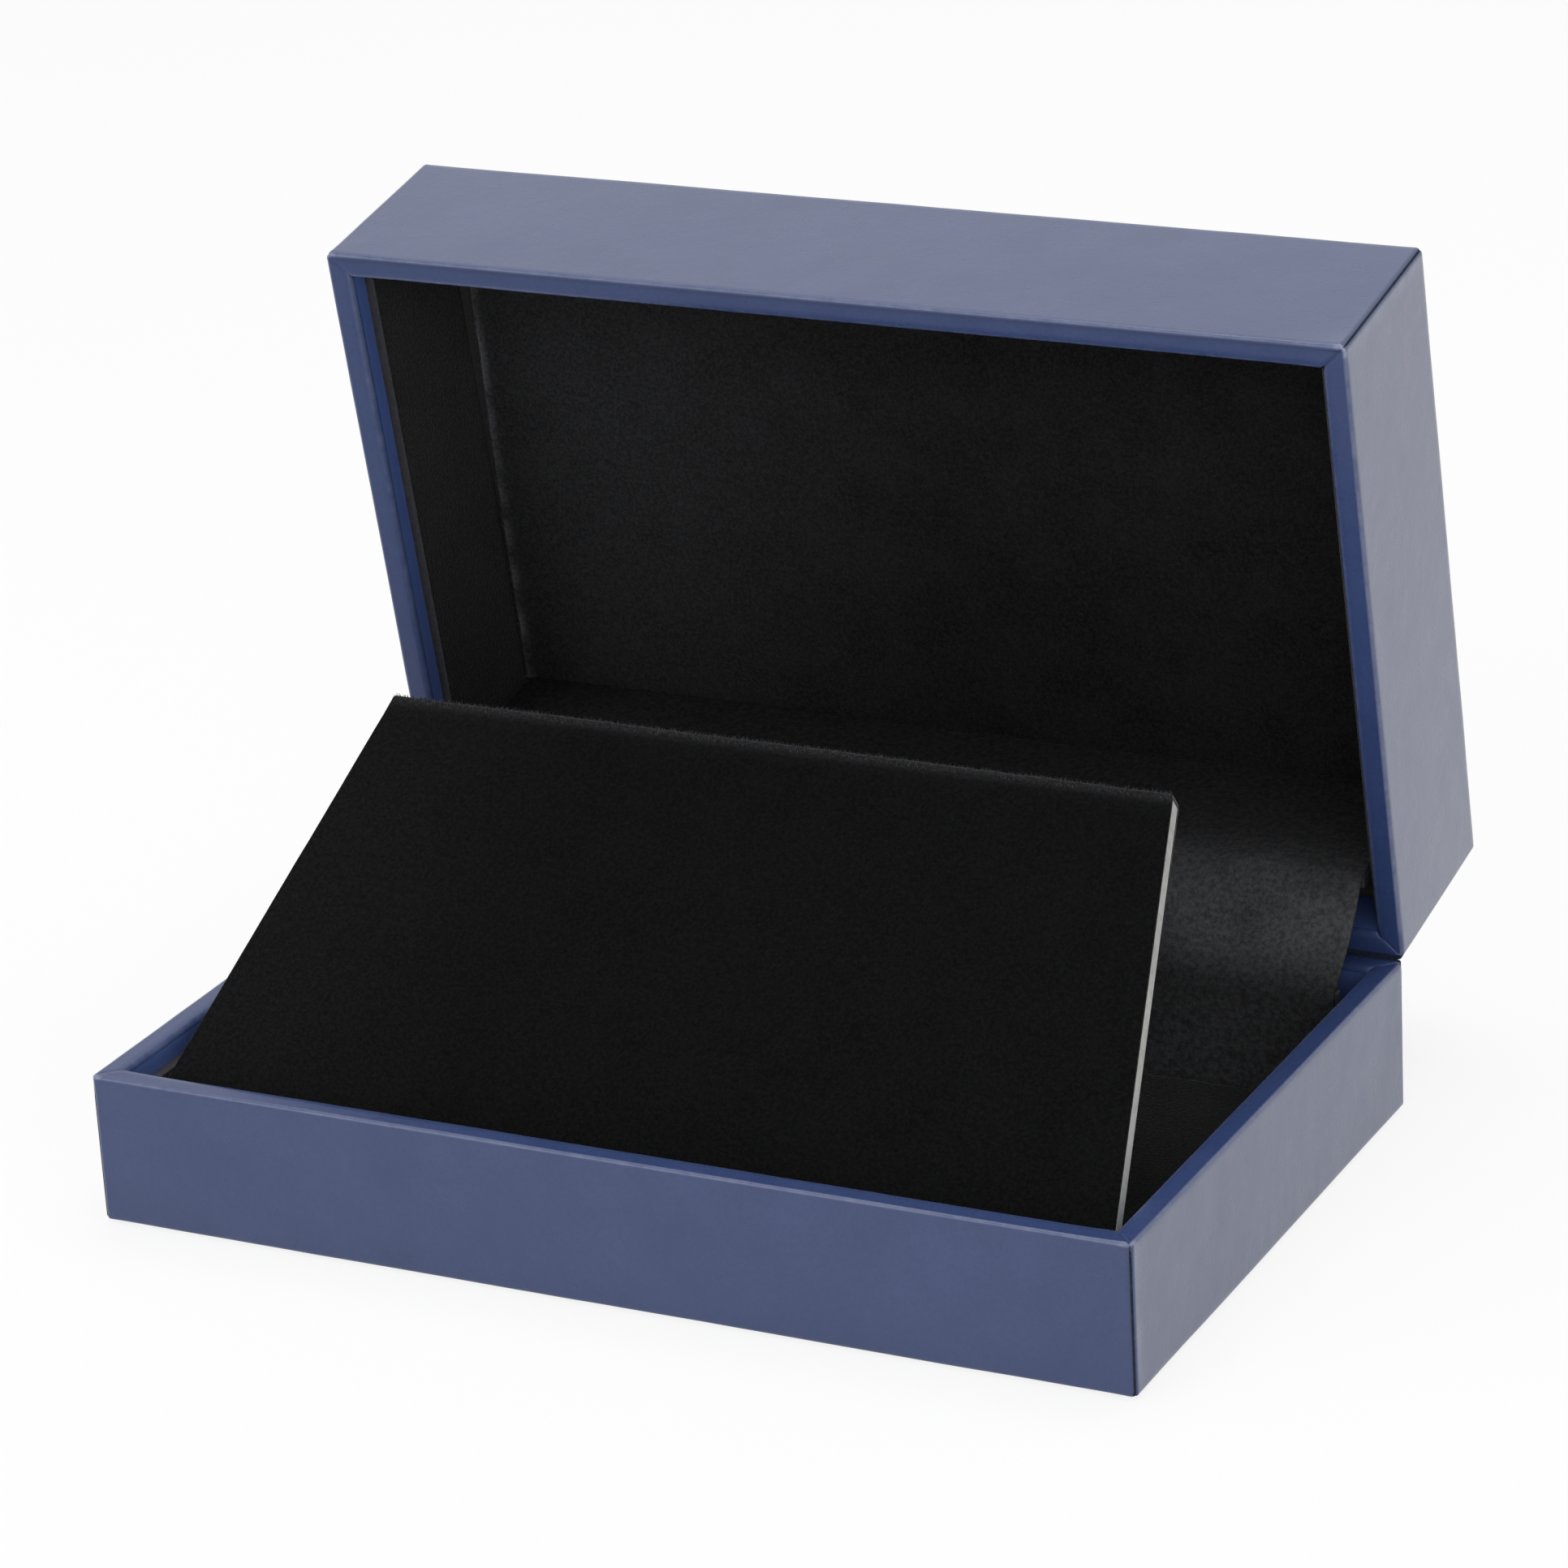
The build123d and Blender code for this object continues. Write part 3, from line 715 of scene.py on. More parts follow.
class Shader(Nodes):
    """A material in the making."""

    def __init__(self, name):
        self.material = bpy.data.materials.new(name)
        self.material.use_nodes = True
        super().__init__(self.material.node_tree)
        self.surface = self.nodes["Principled BSDF"]
        self.place = self.nodes.new("ShaderNodeTexCoord").outputs["Object"]

    def fix(self, **values):
        """Sets numbers and colours on the shader's own sockets."""
        for name, value in values.items():
            self.surface.inputs[name.replace("_", " ")].default_value = value

    def stretched(self, *scale):
        node = self.new("ShaderNodeMapping", Scale=scale)
        self.join(self.place, node.inputs["Vector"])
        return node.outputs["Vector"]

    def clouds(self, wave, detail, roughness=0.55, place=None):
        """Noise from 0 to 1 whose features are about that many millimetres long."""
        node = self.new("ShaderNodeTexNoise", Scale=1 / (wave * MM), Detail=detail, Roughness=roughness)
        self.join(place or self.place, node.inputs["Vector"])
        return node.outputs["Fac"]

    def ramp(self, value, *stops):
        """Colours or greys between positions, each stop a position and a colour or a number."""
        node = self.nodes.new("ShaderNodeValToRGB")
        elements = node.color_ramp.elements
        while len(elements) < len(stops):
            elements.new(0.5)
        for element, (position, colour) in zip(elements, stops):
            element.position = position
            element.color = (*colour, 1) if isinstance(colour, tuple) else (colour, colour, colour, 1)
        self.join(value, node.inputs["Fac"])
        return node.outputs["Color"]

    def blend(self, factor, first, second):
        node = self.nodes.new("ShaderNodeMix")
        node.data_type = "RGBA"
        sockets = [s for s in node.inputs if s.name == "Factor" or s.type == "RGBA"]
        self.feed(sockets[0], factor)
        self.feed(sockets[-2], first)
        self.feed(sockets[-1], second)
        return [s for s in node.outputs if s.type == "RGBA"][0]

    def tinted(self, colour, tint, pattern, start, stop):
        """A colour mixed with a tint: start and stop pair a pattern's value with the share."""
        return self.blend(self.ramp(pattern, start, stop), colour, tint)

    def attribute(self, name):
        node = self.nodes.new("ShaderNodeAttribute")
        node.attribute_name = name
        return node.outputs["Fac"]

    def colour(self, source):
        self.join(source, self.surface.inputs["Base Color"])

    def drifting_roughness(self, wave, detail, low, high):
        drift = self.ramp(self.clouds(wave, detail), (0.3, low), (0.7, high))
        self.join(drift, self.surface.inputs["Roughness"])

    def bump(self, height, depth):
        """Adds a bump of that many millimetres to the ones before it."""
        node = self.new("ShaderNodeBump", Distance=depth * MM)
        self.join(height, node.inputs["Height"])
        normal = self.surface.inputs["Normal"]
        if normal.is_linked:
            self.join(normal.links[0].from_socket, node.inputs["Normal"])
        self.join(node.outputs["Normal"], normal)


def leatherette(name, depth, low_roughness, high_roughness, **constants):
    """Blue paper-backed leatherette: fine pebbled grain, satin, paler where it is rubbed and where a
    highlight is painted on, darker in seams and where shade is painted on.

    The depth sets how light its blue is.
    """
    shader = Shader(name)

    def blue(*parts):
        return tuple(part * depth for part in parts)

    pebble = shader.clouds(0.33, 2, 0.5)
    dull = blue(0.029, 0.050, 0.140)
    clear = blue(0.037, 0.060, 0.158)
    colour = shader.ramp(shader.clouds(7, 4), (0.3, dull), (0.7, clear))
    colour = shader.tinted(colour, blue(0.016, 0.030, 0.100), pebble, (0.35, 0.22), (0.6, 0.0))
    # Edge marks above 0 are wear and painted highlights; below 0 they are seams and painted shade.
    mark = shader.attribute("edge")
    patches = shader.ramp(shader.clouds(1.4, 4), (0.35, 0.25), (0.7, 0.7))
    wear_and_highlight = shader.maths("MULTIPLY", shader.maths("MAXIMUM", mark, 0.0), patches)
    seam_and_shade = shader.maths("MAXIMUM", shader.maths("MULTIPLY", mark, -1.0), 0.0)
    colour = shader.blend(wear_and_highlight, colour, (0.30, 0.33, 0.44))
    shader.colour(shader.blend(seam_and_shade, colour, (0.012, 0.017, 0.034)))
    shader.drifting_roughness(3, 5, low_roughness, high_roughness)
    shader.fix(**constants)
    shader.bump(pebble, 0.010)
    shader.bump(shader.clouds(0.11, 2), 0.005)
    shader.bump(shader.clouds(2.2, 3), 0.02)
    return shader.material


def fibrous(name, fibre, stretch, dark, light, depth, drift=None, **constants):
    """Paper or a cut edge with fibres in it, which are a noise of that size, detail and roughness.

    The drift, if there is one, is the roughness's size, detail, lowest and highest value.
    """
    shader = Shader(name)
    grain = shader.clouds(*fibre, stretch and shader.stretched(*stretch))
    shader.colour(shader.ramp(grain, (0.35, dark), light))
    if drift:
        shader.drifting_roughness(*drift)
    shader.fix(**constants)
    shader.bump(grain, depth)
    return shader.material


# Greys for painted light and painted sheen on velvet.
PAINTED_LIGHT_GREY = (0.090, 0.092, 0.097)
PAINTED_SHEEN_GREY = (0.26, 0.265, 0.275)


def velvet(name, level, grain_share=0.6, speck_share=0.5, tuft=0.34, mottle=1.0, sheen=0.3):
    """Short black pile: no gloss, a soft sheen, mottled by how the pile lies, and painted lighter where its
    marks paint light and sheen on.

    The level sets how light it is, the shares how much single tufts stand out, the tuft how
    large they are in millimetres, the mottle how uneven the pile lies and the sheen how much
    it lights up where it is seen at a low angle.
    """
    shader = Shader(name)

    def grey(value):
        return (level * value, level * value * 1.02, level * value * 1.08)

    lie = shader.clouds(6, 4, 0.6)
    grain = shader.clouds(tuft, 2, 0.7)
    speck = shader.clouds(0.4 * tuft, 2, 0.8)
    dark = grey(0.0078 - 0.0028 * mottle)
    light = grey(0.0078 + 0.0027 * mottle)
    colour = shader.ramp(lie, (0.3, dark), (0.7, light))
    colour = shader.tinted(colour, grey(0.024), grain, (0.38, 0.0), (0.66, grain_share))
    colour = shader.tinted(colour, grey(0.045), speck, (0.56, 0.0), (0.74, speck_share))
    # Edge marks paint light and sheen on the velvet: up to the lighter grey at 1, then towards the paler
    # grey above 1.
    mark = shader.attribute("edge")
    standing = shader.ramp(grain, (0.35, 0.5), (0.65, 1.0))
    raised = shader.maths("MULTIPLY", shader.maths("MINIMUM", mark, 1.0), standing)
    painted_peak = shader.maths("MAXIMUM", shader.maths("SUBTRACT", mark, 1.0), 0.0)
    colour = shader.blend(raised, colour, PAINTED_LIGHT_GREY)
    shader.colour(shader.blend(painted_peak, colour, PAINTED_SHEEN_GREY))
    shader.fix(Roughness=0.95, Specular_IOR_Level=0.0, Sheen_Weight=sheen, Sheen_Roughness=0.3)
    shader.bump(grain, 0.08)
    shader.bump(speck, 0.04)
    return shader.material


def board(name, mottle, dark, light, flecks, tint, start, stop, roughness, grain, depth):
    """Board mottled from dark to light, with flecks of a tint and a fine grain.

    The mottle, the flecks and the grain are each a noise: size, detail and, if need be, more.
    """
    shader = Shader(name)
    colour = shader.ramp(shader.clouds(*mottle), (0.3, dark), (0.7, light))
    shader.colour(shader.tinted(colour, tint, shader.clouds(*flecks), start, stop))
    shader.fix(Roughness=roughness)
    shader.bump(shader.clouds(*grain), depth)
    return shader.material


def woven(name, colour_low, colour_high, pitch):
    """Plain-woven tape or ribbon, its threads along and across X."""
    shader = Shader(name)
    heights = []
    for direction in "XY":
        wave = shader.new("ShaderNodeTexWave", Scale=1 / (pitch * MM) / 3.2, Distortion=0.3)
        wave.wave_type = "BANDS"
        wave.bands_direction = direction
        shader.join(shader.place, wave.inputs["Vector"])
        heights.append(wave.outputs["Fac"])
    weave = shader.maths("MULTIPLY", heights[0], heights[1])
    shader.colour(shader.ramp(weave, (0.1, colour_low), (0.8, colour_high)))
    shader.fix(Roughness=0.8, Sheen_Weight=0.1)
    shader.bump(weave, 0.05)
    shader.bump(shader.clouds(0.2, 3), 0.02)
    return shader.material


def metal(name, colour, roughness, wave):
    """Pressed sheet metal, lightly brushed along X."""
    shader = Shader(name)
    brushed = shader.clouds(wave, 4, 0.6, shader.stretched(0.08, 1, 1))
    darker = tuple(0.75 * c for c in colour)
    shader.colour(shader.ramp(brushed, (0.3, darker), (0.7, colour)))
    shader.drifting_roughness(1.5, 4, roughness - 0.06, roughness + 0.1)
    shader.fix(Metallic=1.0)
    shader.bump(brushed, 0.006)
    return shader.material


WALL_SKIN = {"IOR": 1.52, "Sheen_Roughness": 0.35}
# The lid's copy has more sheen than the base's so that its sides read lighter: painted light.
BASE_LEATHERETTE = leatherette("base_leatherette", 1.0, 0.26, 0.34, Sheen_Weight=0.65, **WALL_SKIN)
LID_LEATHERETTE = leatherette("lid_leatherette", 1.0, 0.26, 0.34, Sheen_Weight=0.95, **WALL_SKIN)
RIM_LEATHERETTE = leatherette("rim_leatherette", 1.05, 0.24, 0.32, IOR=1.50, Specular_IOR_Level=0.32)
# A lighter blue copy of the leatherette for the turned-in inner walls: painted light.
TURNED_IN_PAINTED_LIGHT = leatherette("turned_in_painted_light", 2.3, 0.30, 0.40, IOR=1.50)
CUT_EDGE_AND_GAP_SHADE = fibrous(
    "cut_edge_and_gap_shade", (0.3, 3, 0.55), None, (0.012, 0.018, 0.034), (0.7, (0.026, 0.036, 0.062)), 0.03,
    Roughness=0.9, Specular_IOR_Level=0.1,
)
# Velvet levels are set piece by piece. The cover, the flocked cards, the floor and the ceiling are lighter
# than the panel, partly as different cloth and partly as painted light where the inside of the case lies in
# shade; the loose tufts are lighter still as painted sheen.
PANEL_VELVET = velvet("panel_velvet", 0.55, 0.35, 0.2, mottle=0.3)
CEILING_VELVET = velvet("ceiling_velvet", 1.12, 0.4, 0.3, mottle=0.7, sheen=0.1)
FLOOR_VELVET = velvet("floor_velvet", 1.25)
COVER_VELVET = velvet("cover_velvet", 0.65, 0.6, 0.5, 0.5, mottle=0.5, sheen=0.12)
FLOCK = velvet("flock", 1.9, 0.4, 0.3, mottle=0.5)
RAISED_PILE = velvet("raised_pile", 3.2, 0.9, 0.8)
CARD_EDGE = board(
    "card_edge", mottle=(0.5, 3), dark=(0.018, 0.018, 0.022), light=(0.036, 0.036, 0.042),
    flecks=(0.2, 2), tint=(0.014, 0.014, 0.015), start=(0.55, 0.0), stop=(0.7, 0.8),
    roughness=0.85, grain=(0.15, 3), depth=0.04,
)
PALE_BOARD = board(
    "pale_board", mottle=(3, 4), dark=(0.42, 0.42, 0.405), light=(0.52, 0.52, 0.50),
    flecks=(2 / 3, 3, 0.6), tint=(0.20, 0.20, 0.19), start=(0.45, 0.0), stop=(0.75, 0.45),
    roughness=0.8, grain=(2 / 3, 3, 0.6), depth=0.03,
)
BLACK_BOARD = fibrous(
    "black_board", (0.3, 5, 0.7), (1, 0.35, 1), (0.012, 0.012, 0.013), (0.72, (0.030, 0.030, 0.031)),
    0.02, (2, 4, 0.62, 0.78),
)
TRAY_BOARD = board(
    "tray_board", mottle=(1.2, 5), dark=(0.22, 0.20, 0.17), light=(0.32, 0.29, 0.25),
    flecks=(0.3, 2), tint=(0.10, 0.09, 0.08), start=(0.62, 0.0), stop=(0.7, 0.7),
    roughness=0.9, grain=(0.25, 4), depth=0.03,
)
PAPER = fibrous(
    "underside_paper", (0.4, 5, 0.65), (0.3, 1, 1), (0.012, 0.015, 0.028), (0.7, (0.022, 0.027, 0.046)),
    0.02, (3, 4, 0.6, 0.75),
)
TAPE = woven("cloth_tape", (0.006, 0.006, 0.007), (0.028, 0.028, 0.030), 0.5)
RIBBON = woven("ribbon", (0.008, 0.008, 0.009), (0.035, 0.035, 0.038), 0.3)
HINGE_METAL = metal("hinge_metal", (0.62, 0.49, 0.26), 0.3, 0.5)
SPRING_STEEL = metal("spring_steel", (0.42, 0.43, 0.46), 0.25, 0.4)


def settle(piece, body, node):
    """Rides a piece on its body, for the CAD node that it stands for."""
    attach(piece, body)
    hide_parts(node)


# Leatherette of the two trays
NOTCH_REACH = 0.35
NOTCH_DEPTHS = (29.0, 33.5)
NOTCH_HEIGHTS = (13.75, 16.55)


def dress_tray(piece, tray):
    """Gives the rim its own finish, the turned-in part a lighter blue as painted light, and the seams and
    the painted shade at the hinge a dark one.
    """
    mesh = piece.data
    for material in (RIM_LEATHERETTE, CUT_EDGE_AND_GAP_SHADE, TURNED_IN_PAINTED_LIGHT):
        mesh.materials.append(material)
    rim, cut, lit_turned_in = 1, 2, 3
    marks = np.zeros(len(mesh.vertices), np.float32)
    mesh.attributes["edge"].data.foreach_get("value", marks)
    for face in mesh.polygons:
        x, y, z = face.center / MM
        from_side = min(tray.half_width - abs(x), tray.half_depth - abs(y))
        depth = (z - tray.rim_z) * tray.away
        # Seams, and the painted shade line at the hinge, take the dark cut-edge material.
        if marks[list(face.vertices)].mean() < DARK_FACE_MARK:
            face.material_index = cut
        elif from_side > outer_edge_radius + 0.02 and depth < turn_in_depth + 0.1:
            face.material_index = lit_turned_in if depth > 0.9 else rim


def hinge_notches():
    """Boxes cut through both rims of the shut case for the knuckles, past the pins' ends."""
    boxes = []
    for side in ("left", "right"):
        low, high = node_box(f"{side}_hinge_pin")
        (y_low, y_high), (z_low, z_high) = NOTCH_DEPTHS, NOTCH_HEIGHTS
        boxes.append(((low[0] - NOTCH_REACH, y_low, z_low), (high[0] + NOTCH_REACH, y_high, z_high)))
    return boxes


def tray_wrap(body, undo, place, away, seed, material):
    """Leatherette of one tray, made shut and then put in place. The lid's covers its bottom."""
    tray = Tray(f"{body}_wrap", undo, away)
    points, faces, marks = tray_skin(tray, body == "lid", seed)
    piece = new_piece(f"{body}_leatherette", points, faces, material, marks)
    cut_boxes(piece, hinge_notches())
    dress_tray(piece, tray)
    move_points(piece, place)
    settle(piece, body, f"{body}_wrap")


# Linings
PAD_EDGE_RADIUS = 0.35
CARD_SIDES = (("front", 1, 1), ("left", 0, 1), ("right", 0, -1))
PILE_WIDTH = 0.05


def lining(name, node, body, axis, side, seed, material, rim=None, radius=0.2, shape=None):
    """A flocked or velvet lining in its CAD box, with a bare cut edge towards the rim."""
    undo, place = (shut_lid, open_lid) if body == "lid" else (as_it_stands, as_it_stands)
    low, high = node_box(node, undo)
    front, back = lining_grids(low, high, axis, side, 0.9, radius, seed)
    marks = None
    if shape is not None:
        front, back, marks = shape(front, back, low, high)
    piece = sheet_piece(name, front, back, material, marks)
    if rim is not None:
        piece.data.materials.append(CARD_EDGE)
        edge = high[2] if rim > 0 else low[2]
        for face in piece.data.polygons:
            if face.normal[2] * rim > 0.8 and abs(face.center[2] / MM - edge) < 0.05:
                face.material_index = 1
    move_points(piece, place)
    settle(piece, body, node)
    return piece


def pile(name, body, place, roots, ways, length, spread, seed):
    """Single tufts of pile that stand up from their roots."""
    points, faces = fibres(roots, ways, length, PILE_WIDTH, spread, seed)
    piece = new_piece(name, place(points), faces, RAISED_PILE)
    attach(piece, body)
    return piece


CEILING_LEAN = 1.7

# Broken ridge of pile along the ceiling pad's left edge: where it starts from the lid's
# front, and the noise that breaks it
RIDGE_START = 4.5
RIDGE_NOISE = (3.1, 4.2)


def ceiling_shift(x, y, low, high):
    """How far in the ceiling pad's left edge stands, most at the front of the lid."""
    near_front = (high[1] - y) / (high[1] - low[1])
    return CEILING_LEAN * np.clip(1 - (x - low[0]) / 12, 0, 1) * np.clip(near_front, 0, 1) ** 1.3


def ceiling_shape(front, back, low, high):
    """Leans the pad's left edge in and raises a broken ridge of pile along it, with painted sheen along the
    ridge and painted light on the pad's left side.
    """
    x = front[..., 0].copy()
    y = front[..., 1]
    blobs = ripples(y, *RIDGE_NOISE)
    ridge = hump(x - low[0], 0.5, 0.45) * np.clip((y - low[1] - RIDGE_START) / 3, 0, 1)
    front[..., 2] -= 0.28 * ridge * (1 + 0.7 * blobs)
    shift = ceiling_shift(x, y, low, high)
    front[..., 0] += shift + 0.30 * blobs * ridge
    back[..., 0] += shift
    # Marks of painted light on the pad's left side, and of painted sheen along the ridge.
    lit_side = 0.20 * np.clip(1 - (x - low[0]) / 50, 0, 1)
    return front, back, lit_side + 1.05 * ridge * np.clip(0.7 + 1.4 * blobs, 0, 1)


def linings():
    seed = 21
    for body, rim in (("base", 1), ("lid", -1)):
        for wall_name, axis, side in CARD_SIDES:
            name = f"{body}_{wall_name}"
            lining(f"{name}_lining", f"{name}_card", body, axis, side, seed, FLOCK, rim)
            seed += 1
    floor_pad = lining("floor_velvet", "base_floor_velvet", "base", 2, 1, 27, FLOOR_VELVET,
                       radius=PAD_EDGE_RADIUS)
    ceiling = lining("ceiling_velvet", "lid_ceiling_velvet", "lid", 2, -1, 28, CEILING_VELVET,
                     radius=PAD_EDGE_RADIUS, shape=ceiling_shape)
    ceiling_fuzz()


def ceiling_fuzz():
    """Pile that stands up along the ceiling pad's left and front edges."""
    low, high = node_box("lid_ceiling_velvet", shut_lid)
    roots = []
    ways = []
    draw = random.Random(5)
    for _ in range(2400):
        y = draw.uniform(low[1] + RIDGE_START, high[1])
        x = low[0] + draw.uniform(0.0, 0.9)
        tuft = ripple(y, *RIDGE_NOISE)
        if draw.random() < 0.35 + tuft:
            roots.append((x + ceiling_shift(x, y, low, high), y, low[2] + draw.uniform(-0.15, 0.05)))
            ways.append((-0.4, 0, -1))
    for _ in range(1200):
        x = draw.uniform(low[0] + CEILING_LEAN, high[0])
        roots.append((x, low[1] + draw.uniform(0.0, 0.5), low[2] + draw.uniform(-0.02, 0.1)))
        ways.append((0, -0.4, -1))
    return pile("ceiling_pile", "lid", open_lid, roots, ways, 0.45, 0.35, 6)


# Panel
PANEL_TURN_RADIUS = 0.38
ROLL_WIDTH = 1.3
ROLL_NOISE = (14, 2.7)


def panel_shape():
    """The flat panel's end lines, levels and half-widths."""
    low, high = node_box("panel_velvet", lower_panel)
    board_low, board_high = node_box("panel_board", lower_panel)
    flat = lower_panel(mesh_points(frame["nodes"]["panel_board"].data))
    far = flat[flat[:, 1] > board_high[1] - 0.01]
    rate = (board_high[0] - far[:, 0].max()) / (board_high[1] - board_low[1])
    return low, high, board_low, board_high, rate


def panel_velvet():
    low, high, board_low, board_high, rate = panel_shape()
    end = high[1]
    under = board_low[2] - velvet_thickness
    over = high[2]
    corners = [(end - panel_turn_under, under), (end, under), (end, over), (low[1], over)]
    path = rounded_path(corners, (PANEL_TURN_RADIUS, PANEL_TURN_RADIUS), 0.9)
    half_widths = board_high[0] - rate * (path[:, 0] - low[1])
    roll_start = panel_turn_under + 1.2

    def relief(base):
        at_top = hump(along_path(path), roll_start, ROLL_WIDTH)[:, None]
        x = base[..., 0]
        uneven = 0.10 + 0.16 * ripples(x, *ROLL_NOISE) + 0.07 * ripples(x, 2.6, 9.1)
        return nap(base, 31) + at_top * uneven

    front, back = band_grids(path, half_widths, velvet_thickness, 0.9, 0.15, relief)
    # Marks of painted sheen along the rolled top edge, and of painted light on the left side.
    turn = hump(along_path(path), roll_start - 0.3, ROLL_WIDTH)[:, None]
    lit_side = 0.05 * np.clip(1 - (front[..., 0] + board_high[0]) / 30, 0, 1)
    piece = sheet_piece("panel_velvet_cover", front, back, PANEL_VELVET, 0.8 * turn + lit_side, raise_panel)
    settle(piece, "panel", "panel_velvet")
    fuzz = panel_fuzz(end, under, over, board_high[0] - rate * (end - low[1]))


def panel_fuzz(end, under, over, half_width):
    """Pile that stands up where the velvet turns over the panel's top edge."""
    draw = random.Random(8)
    roots = []
    ways = []
    for _ in range(2600):
        x = draw.uniform(-half_width, half_width)
        lift = draw.uniform(0, 1)
        height = over - 0.15 - (over - under - 0.3) * lift * lift * 0.5
        y = end + 0.02 + 0.12 * ripple(x, *ROLL_NOISE)
        if draw.random() < 0.5:
            y = end - draw.uniform(0.0, 0.8)
            height = over + 0.02
        roots.append((x, y, height))
        ways.append((0, 0.8, 0.8))
    return pile("panel_pile", "panel", raise_panel, roots, ways, 0.4, 0.4, 9)


# Cloth across a joint
def cross_joint(piece, node):
    """Bakes a piece's place into its mesh, so that it stays as it was made.

    It stands for the CAD node, and is a stretched sheet as long as its path.
    """
    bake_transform(piece)
    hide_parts(node)


def plain_band(name, path, half_width, thickness, step, edge_radius, material):
    widths = np.full(len(path), half_width)
    return sheet_piece(name, *band_grids(path, widths, thickness, step, edge_radius), material)


def hinge_cover():
    """Velvet from the lid's ceiling over the shelf and the screen to the floor."""
    half_width = node_box("hinge_cover")[1][0]
    shelf_low, shelf_high = node_box("hinge_shelf", shut_lid)
    screen_low, screen_high = node_box("hinge_screen")
    face_y = screen_low[1] - velvet_thickness
    ceiling_z = shelf_high[2]
    top = open_lid([0, face_y, ceiling_z])[1:]
    shelf_edge = open_lid([0, face_y, shelf_low[2]])[1:]
    screen_edge = np.array([face_y, screen_high[2]])
    foot = np.array([face_y, screen_low[2]])
    run = screen_edge - shelf_edge
    across = unit(np.array([-run[1], run[0]]))
    middle = (shelf_edge + screen_edge) / 2 + across * cover_sag
    path = rounded_path([top, shelf_edge, middle, screen_edge, foot], (1.6, 28, 2.6), 0.8)

    def relief(base):
        y = base[..., 1]
        z = base[..., 2]
        loose = ((y < shelf_edge[0]) & (z > screen_edge[1])) * 1.0
        folds = waves((base * (1, 0.25, 0.25)).reshape(-1, 3), 11, 41).reshape(y.shape)
        return nap(base, 42, 0.07, 0.03) + 0.22 * folds * loose

    widths = np.full(len(path), half_width)
    front, back = band_grids(path, widths, velvet_thickness, 0.9, 0.2, relief)
    along = along_path(path)
    middle_along = along[np.argmin(np.linalg.norm(path - middle, axis=1))]
    # Marks of painted light, which brushed holds here: brightest across the sagging middle and uneven along
    # it, lighter down the screen towards the foot, and lighter on the shelf towards its edge.
    brushed = hump(along, middle_along - 1.2, 6.0)[:, None]
    uneven = waves(front.reshape(-1, 3), 6, 44).reshape(front.shape[:2])
    brushed = 0.95 * brushed * np.clip(0.85 + 0.5 * uneven, 0, 1)
    below = screen_edge[1] - path[:, 1]
    screen_painted_light = 0.7 * np.clip(below / (screen_edge[1] - foot[1]), 0, 1) + 0.25 * np.clip(below / 2.5, 0, 1)
    on_shelf = np.clip(1 - along / np.linalg.norm(shelf_edge - top), 0, 1)
    on_shelf = np.where(on_shelf > 0, 0.28 - 0.20 * on_shelf, 0.16)
    brushed = np.clip(brushed + (screen_painted_light + on_shelf)[:, None], 0, 1)
    piece = sheet_piece("hinge_velvet", front, back, COVER_VELVET, brushed)
    cross_joint(piece, "hinge_cover")


def crease_tape():
    """Cloth hinge from the anchor strip's face to the panel's underside."""
    low, high = node_box("panel_crease_tape")
    pivot = joint_place("panel_fold")
    face_y = node_box("panel_anchor_strip")[1][1] + tape_thickness
    under = pivot[2] - tape_thickness
    end = raise_panel([0, pivot[1] + crease_tape_on_panel, under])[1:]
    near = raise_panel([0, pivot[1], under])[1:]
    slope = (end - near) / (end - near)[0]
    bend = near + slope * (face_y - near[0])
    path = rounded_path([(face_y, low[2]), bend, end], (0.35,), 0.7)
    piece = plain_band("crease_tape", path, high[0], tape_thickness, 1.2, 0.08, TAPE)
    cross_joint(piece, "panel_crease_tape")


def on_flat_panel(y, z):
    """A side-view point of the flat panel's frame, where it stands."""
    return raise_panel([0, y, z])[1:]


def on_leg(y, z):
    """A side-view point of the folded leg's frame, where it stands."""
    return turned(raise_panel([0, y, z]), "leg_fold", -leg_swing)[1:]


def leg_tape():
    """Cloth hinge from the panel's back to the leg."""
    half_width = node_box("leg_hinge_tape")[1][0]
    flat_axis = lower_panel(joint_place("leg_fold"))
    back = flat_axis[2] + tape_thickness
    corners = [
        on_flat_panel(flat_axis[1] - leg_tape_width, back),
        on_flat_panel(flat_axis[1] + 0.1, back),
        on_leg(flat_axis[1] + leg_tape_width, flat_axis[2]),
    ]
    path = rounded_path(corners, (0.3,), 0.6)[::-1]
    piece = plain_band("leg_tape", path, half_width, -tape_thickness, 1.0, 0.01, TAPE)
    cross_joint(piece, "leg_hinge_tape")


def leg_ribbon():
    """Ribbon that stops the leg, with a glued end on the panel and one on the leg."""
    flat_axis = lower_panel(joint_place("leg_fold"))
    back = flat_axis[2]
    glued = 4.0
    corners = [
        on_flat_panel(flat_axis[1] + ribbon_on_panel + glued, back),
        on_flat_panel(flat_axis[1] + ribbon_on_panel, back),
        on_leg(flat_axis[1] + ribbon_on_leg, back),
        on_leg(flat_axis[1] + ribbon_on_leg + glued, back),
    ]
    path = rounded_path(corners, (0.5, 0.5), 0.7)
    half_width = ribbon_width / 2
    piece = plain_band("leg_stop_ribbon", path, half_width, tape_thickness, 0.8, 0.08, RIBBON)
    cross_joint(piece, "leg_ribbon")


